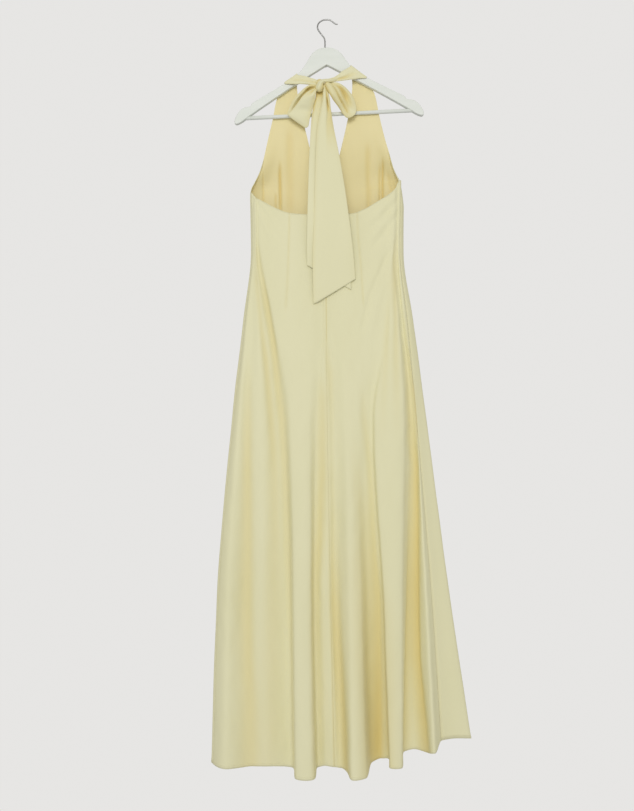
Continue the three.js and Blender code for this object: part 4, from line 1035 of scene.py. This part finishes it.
LOOP_LEFT = [
    [(-21.5, -20, -154.5, 0.6), (-21.5, -20, -157, 0.8), (-21.5, -20, -159, 1),
     (-21.5, -20, -161.5, 1), (-21.5, -20, -163.5, 1)],
    [(-34, -20, -154, 0.4), (-34, -22, -157.5, 0.7), (-33, -17, -160, 1.7),
     (-31.5, -15, -164, 1), (-30.5, -15, -168.5, 1)],
    [(-44, -19, -158.5, 0.3), (-43, -21, -162, 0.7), (-39, -14, -162.5, 1.9),
     (-37.5, -13, -174.5, 1.1), (-35, -12, -183, 1)],
    [(-52.5, -18, -165, 0.3), (-50, -20.5, -169, 0.4), (-46.5, -13, -171, 1.1),
     (-42, -11, -182.5, 0.8), (-39.5, -9.5, -193.5, 0.7)],
    [(-61.5, -18, -174, 0.3), (-58.5, -20.5, -178, 0.35), (-54.5, -12, -180.5, 0.8),
     (-46.5, -9.5, -195.5, 0.7), (-41, -8, -208.5, 0.7)],
    [(-70, -16.5, -183.5, 0.3), (-67, -18, -187, 0.35), (-62, -11.5, -190.5, 0.8),
     (-51, -8.5, -206.5, 0.7), (-42, -8.5, -222.5, 0.7)],
    [(-77.5, -14.5, -195, 0.3), (-74.5, -15.5, -198, 0.35), (-69, -11, -202, 0.7),
     (-55.5, -9.5, -218, 0.6), (-43, -7.5, -232, 0.6)],
    [(-83, -12, -206.5, 0.3), (-79.5, -12.5, -208.5, 0.3), (-74.5, -11.5, -213, 0.4),
     (-60, -10, -226.5, 0.5), (-44, -7, -240, 0.5)],
    [(-86, -13.5, -218.5, 0.25), (-82.5, -13.5, -222, 0.2), (-75.5, -13, -227.5, 0.2),
     (-60, -10.5, -238, 0.2), (-45.5, -10, -247.5, 0.2)],
    [(-82.5, -15.5, -217, 0.15), (-78, -16.5, -220, 0), (-70.5, -16.5, -224.5, 0),
     (-56, -14.5, -234.5, 0), (-39.5, -12, -245, 0.1)],
    [(-76.5, -16.5, -211, 0.2), (-72, -17.5, -213, 0), (-64.5, -18, -217, 0),
     (-51, -17.5, -224.5, 0), (-36, -15, -230.5, 0.2)],
    [(-68.5, -20.5, -203, 0.2), (-64, -21, -205, 0), (-57.5, -20, -207.5, 0),
     (-45, -18, -211, 0), (-31.5, -16.5, -214.5, 0.3)],
    [(-60.5, -25.5, -194.5, 0.2), (-56.5, -26, -196, 0), (-50.5, -25.5, -198.5, 0),
     (-40, -23.5, -201, 0), (-27.5, -20, -202.5, 0.4)],
    [(-53, -29, -185, 0.3), (-49.5, -30, -187, 0.1), (-44, -30, -189, 0.05),
     (-34.5, -29, -191, 0.05), (-24, -26, -191, 0.4)],
    [(-45, -30, -177, 0.5), (-41.5, -31.5, -178.5, 0.3), (-36, -31.5, -180, 0.35),
     (-28.5, -34, -182, 0.05), (-22.5, -31, -181.5, 0.5)],
    [(-36, -29, -170.5, 0.7), (-34, -30.5, -172, 0.4), (-30, -28.8, -172.5, 0.9),
     (-25.5, -32.5, -174.5, 0.15), (-21.5, -30, -174, 0.5)],
    [(-24, -28, -165.5, 0.6), (-23.5, -28, -166.5, 0.5), (-22.5, -28, -167, 0.8),
     (-21.5, -28, -167.5, 0.4), (-20.5, -28, -168, 0.5)],
]
LOOP_RIGHT = [
    [(1, -20, -152.5, 0.6), (1, -20, -151.5, 0.5), (1, -20, -150, 0.5),
     (1, -20, -149, 0.4), (1, -20, -148, 0.4)],
    [(13, -24, -160.5, 0.8), (18.5, -27, -159, 0.4), (22, -24, -155.5, 0.6),
     (24.5, -24, -153.5, 0.3), (27.5, -22, -150.5, 0.3)],
    [(20, -24, -171, 1), (27, -28, -167, 0.35), (33.5, -20, -162.5, 1.35),
     (39, -23, -160.5, 0.4), (42, -20, -158, 0.3)],
    [(26.5, -23.5, -180.5, 1), (31, -28, -175.5, 0.4), (39.5, -18, -169.5, 1.45),
     (48, -22, -169.5, 0.4), (53, -19, -168.5, 0.3)],
    [(32.5, -20, -189.5, 1), (36.5, -25.5, -185.5, 0.6), (44.5, -17.5, -178.5, 1.3),
     (55, -21.5, -179, 0.35), (61, -18.5, -179.5, 0.25)],
    [(38.5, -17.5, -197.5, 1), (41.5, -22, -192.5, 0.6), (48, -16, -187.5, 0.9),
     (59, -19, -189.5, 0.35), (66.5, -16, -192.5, 0.25)],
    [(41.5, -14, -206.5, 1), (46.5, -17.5, -201, 0.7), (53, -15, -197.5, 0.6),
     (62, -16, -200.5, 0.3), (69.5, -13.5, -205, 0.25)],
    [(46.5, -14, -213, 1.2), (51, -15, -210.5, 0.5), (57, -14.5, -210, 0.1),
     (62.5, -15, -213.5, 0.05), (67.5, -14.5, -216.5, 0.2)],
    [(48, -15, -214, 1), (50.5, -16, -216, 0.5), (55, -16.5, -219, 0.3),
     (57, -16.5, -222, 0.3), (58.5, -15.5, -225, 0.4)],
    [(47.5, -16.5, -213, 1), (47.5, -17.5, -216.5, 0.5), (47.5, -18, -221, 0.4),
     (48, -18, -224, 0.3), (48, -16, -227, 0.5)],
    [(44.5, -17.5, -208.5, 0.9), (43, -18, -210.5, 0.5), (41.5, -18.5, -213.5, 0.4),
     (40.5, -18.5, -216.5, 0.4), (39.5, -16.5, -219, 0.7)],
    [(39.5, -21, -201.5, 1), (37.5, -22, -203.5, 0.5), (35.5, -21.5, -205.5, 0.35),
     (34, -20, -207, 0.4), (33, -16.5, -209, 1.3)],
    [(34.5, -25, -194.5, 1), (32, -26.5, -196, 0.5), (30, -26.5, -197.5, 0.35),
     (27.5, -25, -199, 0.4), (25.5, -21.5, -200, 1.5)],
    [(29.5, -29.5, -186.5, 1), (26.5, -31, -188, 0.45), (24, -31.5, -189.5, 0.3),
     (21, -29.5, -191, 0.5), (18, -25.5, -192, 1.5)],
    [(24, -32, -176, 0.7), (21, -34.5, -178.5, 0.4), (18, -35.5, -180.5, 0.3),
     (15, -34.5, -182, 0.4), (11.5, -30, -183, 1.6)],
    [(18, -31, -164.5, 0.8), (15, -34, -167.5, 0.35), (12, -35, -170, 0.3),
     (8.5, -33.5, -172, 0.5), (5.5, -30, -174, 1.8)],
    [(11, -30, -155.5, 0.6), (8, -33, -158.5, 0.35), (5, -34, -161, 0.4),
     (2.5, -32.5, -162.5, 0.7), (0, -29, -164, 1.8)],
    [(3, -28, -150, 0.6), (1, -29, -151.5, 0.6), (-1, -29, -152.5, 0.7),
     (-2, -28, -153.5, 0.8), (-3.5, -27, -154.5, 0.9)],
]
TAIL_FRONT = [
    [(-5, -26, -153.5, 1), (-3.5, -27, -154, 0.9), (-1.5, -27, -154, 0.9),
     (0.5, -25, -153.5, 1.2), (2, -24, -153, 1.4), (3, -23, -152.5, 1.4)],
    [(-6, -28, -173.5, 0.6), (-3.5, -31, -174.5, 0.2), (-1, -31, -174.5, 0.2),
     (2, -28, -173.5, 0.8), (4, -28, -173.5, 0.4), (6, -26, -172.5, 0.7)],
    [(-8, -29, -194, 0.5), (-4.5, -33, -195.5, 0.1), (0, -32, -195, 0.15),
     (3.5, -26, -193, 1.9), (7, -30, -194.5, 0.4), (10, -28, -193.5, 0.3)],
    [(-11, -30, -208, 0.4), (-6, -34, -209.5, 0.05), (0.5, -33, -209, 0.15),
     (5.5, -27, -206.5, 1.5), (8, -29, -207.5, 0.6), (11, -27, -206.5, 0.6)],
    [(-13.5, -31, -221.5, 0.35), (-7.5, -35, -223, 0), (0.5, -34.5, -223, 0.05),
     (5.5, -30.5, -221.5, 0.6), (9.5, -30.5, -221.5, 0.6), (13, -28, -220.5, 0.7)],
    [(-16.5, -32, -237.5, 0.3), (-9.5, -36, -239, 0), (-1, -36, -239, 0),
     (3.5, -33.5, -238, 0.45), (10.5, -32.5, -238, 0.6), (15, -29.5, -236.5, 0.6)],
    [(-19.5, -34, -260.5, 0.25), (-11.5, -37, -261.5, 0), (-1.5, -37.3, -262, 0),
     (3.5, -36, -261.5, 0.35), (12.5, -35.5, -261, 0.35), (19, -33, -260.5, 0.45)],
    [(-22, -36, -306, 0.2), (-14, -38.5, -306.5, 0), (-0.5, -39, -307, 0),
     (5, -38.7, -306.5, 0.05), (18.5, -38.3, -306.5, 0.05), (28, -37, -306, 0.15)],
    [(-24, -35.5, -372.5, 0.2), (-16, -37.5, -373, 0), (-1.5, -37.8, -373, 0),
     (9.5, -37.8, -373, 0), (29.5, -37.6, -373, 0), (40, -36.5, -373, 0.05)],
    [(-26.5, -34, -461, 0.2), (-18, -35.5, -461.5, 0), (-1.5, -35.8, -461.5, 0),
     (14, -35.8, -459.5, 0), (41, -35.7, -457, 0), (52, -35, -455, 0.05)],
    [(-29, -31.5, -550, 0.2), (-19.5, -32.5, -548, 0), (-1.5, -32.5, -543.5, 0),
     (18.5, -32.5, -539, 0), (48.5, -32.5, -530, 0), (61, -32, -525.5, 0.05)],
    [(-27.5, -25, -647.5, 0.1), (-18, -26, -643.5, 0), (-0.5, -26, -633, 0),
     (20, -26, -620.5, 0), (54.5, -26, -599.5, 0), (67, -25.5, -591.5, 0.05)],
]
TAIL_BACK = [
    [(-20.5, -19, -161, 2), (-17, -19, -161, 2), (-12.5, -19, -161, 2),
     (-8, -19, -161, 2), (-3.5, -19, -161, 1)],
    [(-21.5, -20, -173.5, 2), (-18, -21, -174, 2), (-12.5, -21, -174, 1.9),
     (-8, -21, -174, 1.8), (-1.5, -21, -174, 0.8)],
    [(-22, -21.5, -181, 1.9), (-18.5, -24.5, -182, 1), (-13.5, -24.5, -182, 0.8),
     (-8, -24, -182, 0.9), (-1.5, -23, -181.5, 0.5)],
    [(-24, -23, -191.5, 1.7), (-19.5, -27, -193.5, 0.5), (-13.5, -27, -193.5, 0.45),
     (-8, -26, -193, 0.4), (1, -24, -192, 0.4)],
    [(-28, -25, -208, 1.5), (-22, -28.5, -209.5, 0.35), (-16, -28.5, -209.5, 0.3),
     (-8, -28, -209.5, 0.3), (3, -26, -208.5, 0.3)],
    [(-31, -26, -226.5, 0.8), (-25.5, -29.5, -228, 0.2), (-17, -29.5, -228, 0.25),
     (-6, -29, -227.5, 0.2), (7.5, -27, -227, 0.2)],
    [(-33, -28, -254, 0.25), (-27, -30.5, -255, 0.1), (-17, -31, -255, 0.15),
     (-3.5, -31, -255, 0.1), (12, -29, -254.5, 0.1)],
    [(-36, -30, -304, 0.05), (-29.5, -31.8, -304.5, 0), (-17, -32.3, -304.5, 0.1),
     (1, -32, -304.5, 0), (18.5, -31, -304, 0)],
    [(-38.5, -31, -371, 0), (-31.5, -32.2, -371.5, 0), (-19.5, -32.5, -371.5, 0.05),
     (5, -32.3, -372.5, 0), (30, -31.5, -373.5, 0)],
    [(-41, -31.5, -461, 0), (-34, -32.5, -461, 0), (-19.5, -33, -463.5, 0.05),
     (12, -33, -466.5, 0), (45.5, -32, -470, 0)],
    [(-42, -28, -516, 0), (-34, -28.8, -517, 0), (-19.5, -29, -522.5, 0.05),
     (16.5, -29, -534, 0), (52.5, -28.3, -545, 0)],
    [(-41.5, -23.5, -560.5, 0), (-34, -24, -564.5, 0), (-19.5, -24, -573, 0.05),
     (19, -24, -594.5, 0), (58, -23.5, -616, 0)],
]


def ribbon(name, steps, along, across, finishes):
    """A strip of cloth through steps of points, with rounded edges."""
    steps = np.array(steps, float)
    edges = [spline(steps[:, k], np.linspace(0, 1, along)) for k in range(steps.shape[1])]
    sheet = np.stack([spline(row, np.linspace(0, 1, across)) for row in np.stack(edges, axis=1)])
    # The fourth value of each point is its painted shade.
    middle, deep = sheet[..., :3], np.clip(sheet[..., 3], 0, 2)
    normal = outward_of(middle)
    a = np.linspace(-1, 1, across)
    half_thick = normal * (CLOTH / 2 * (0.35 + 0.65 * np.sqrt(1 - a**40)))[None, :, None]
    piece = cloth_shell(name, [(middle + half_thick, middle - half_thick)], finishes, [deep])
    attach(piece, BODY)
    return piece


two_faces = [crepe_face, satin_inside]
strap_left = ribbon("strap_left_cloth", STRAP_LEFT, 110, 40, two_faces)
strap_right = ribbon("strap_right_cloth", STRAP_RIGHT, 110, 40, two_faces)
loop_left = ribbon("loop_left_cloth", LOOP_LEFT, 170, 56, [crepe_face])
loop_right = ribbon("loop_right_cloth", LOOP_RIGHT, 180, 50, [crepe_face])
tail_front = ribbon("tail_front_cloth", TAIL_FRONT, 220, 64, [crepe_face])
tail_back = ribbon("tail_back_cloth", TAIL_BACK, 200, 56, [crepe_face])
for piece, node in ((strap_left, "strap_left"), (strap_right, "strap_right"), (loop_left, "bow_loop_left"),
                    (loop_right, "bow_loop_right"), (tail_front, "tail_front"), (tail_back, "tail_back")):
    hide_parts(node)

# Knot of the bow. The right end of the tie is wrapped over the rest from above and pulled tight, so that a
# band of it crosses the knot and turns down in front.
KNOT = {"centre": (-12, -21, -157), "half": (9.5, 9, 15), "tilt": math.radians(8), "squareness": 0.86}
PLEATS = {"deep": 0.055, "down": 9, "slant": 4, "start": 1.2}
# Steps of the band have x, y, z and painted shade, like the straps'.
KNOT_BAND = [
    [(28, -14.5, -137.5, 0.2), (28.5, -15.5, -140.5, 0.2), (29, -14.5, -142.5, 0.3)],
    [(14.5, -24, -142, 0.2), (14, -27.5, -147, 0.1), (14.5, -25, -150, 0.4)],
    [(3, -29, -144.5, 0.2), (3, -33, -150, 0.05), (4, -30, -152.5, 0.5)],
    [(-7, -31, -146.5, 0.1), (-6, -36, -152.5, 0), (-3, -32, -154, 0.9)],
    [(-15, -31, -151, 0.1), (-11.5, -37, -157.5, 0), (-6, -33, -159, 0.9)],
    [(-20, -30, -158, 0.2), (-14, -37, -163.5, 0), (-6.5, -33, -164.5, 1)],
    [(-22.5, -28, -165.5, 0.3), (-15.5, -35, -169, 0.2), (-7, -31, -168, 1)],
    [(-21.5, -25, -170, 0.7), (-15, -31, -172.5, 0.5), (-8, -27, -171, 0.8)],
    [(-18, -21, -171, 1.8), (-13.5, -24, -173, 1.8), (-9.5, -21, -171, 1.8)],
]
ribbon("knot_band_cloth", KNOT_BAND, 110, 36, [crepe_face])
rounds, ups = 72, 48
knot_points = []
for i in range(ups + 1):
    polar = math.pi * i / ups
    for k in range(rounds):
        angle = 2 * math.pi * k / rounds
        unit = [math.sin(polar) * math.cos(angle), math.sin(polar) * math.sin(angle), math.cos(polar)]
        full = [math.copysign(abs(value) ** KNOT["squareness"], value) for value in unit]
        wave = math.sin(PLEATS["down"] * unit[2] + PLEATS["slant"] * unit[0] + PLEATS["start"])
        pleat = 1 + PLEATS["deep"] * wave * (1 - abs(unit[2])) ** 0.5
        x, y, z = (value * half * pleat for value, half in zip(full, KNOT["half"]))
        c, s = math.cos(-KNOT["tilt"]), math.sin(-KNOT["tilt"])
        knot_points.append(((x * c + z * s + KNOT["centre"][0]) * MM, (y + KNOT["centre"][1]) * MM,
                            (-x * s + z * c + KNOT["centre"][2]) * MM))
knot_faces = [(i * rounds + k, (i + 1) * rounds + k, (i + 1) * rounds + (k + 1) % rounds,
               i * rounds + (k + 1) % rounds) for i in range(ups) for k in range(rounds)]
knot = new_piece("knot_cloth", knot_points, knot_faces)
# Painted shade, the same all over the knot.
knot_painted_shade = knot.data.attributes.new("fold_painted_shade", "FLOAT", "POINT")
knot_painted_shade.data.foreach_set("value", np.full(len(knot_points), 0.7, dtype=np.float32))
face_outwards(knot)
knot.data.materials.append(crepe_face)
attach(knot, BODY)
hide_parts("bow_knot")
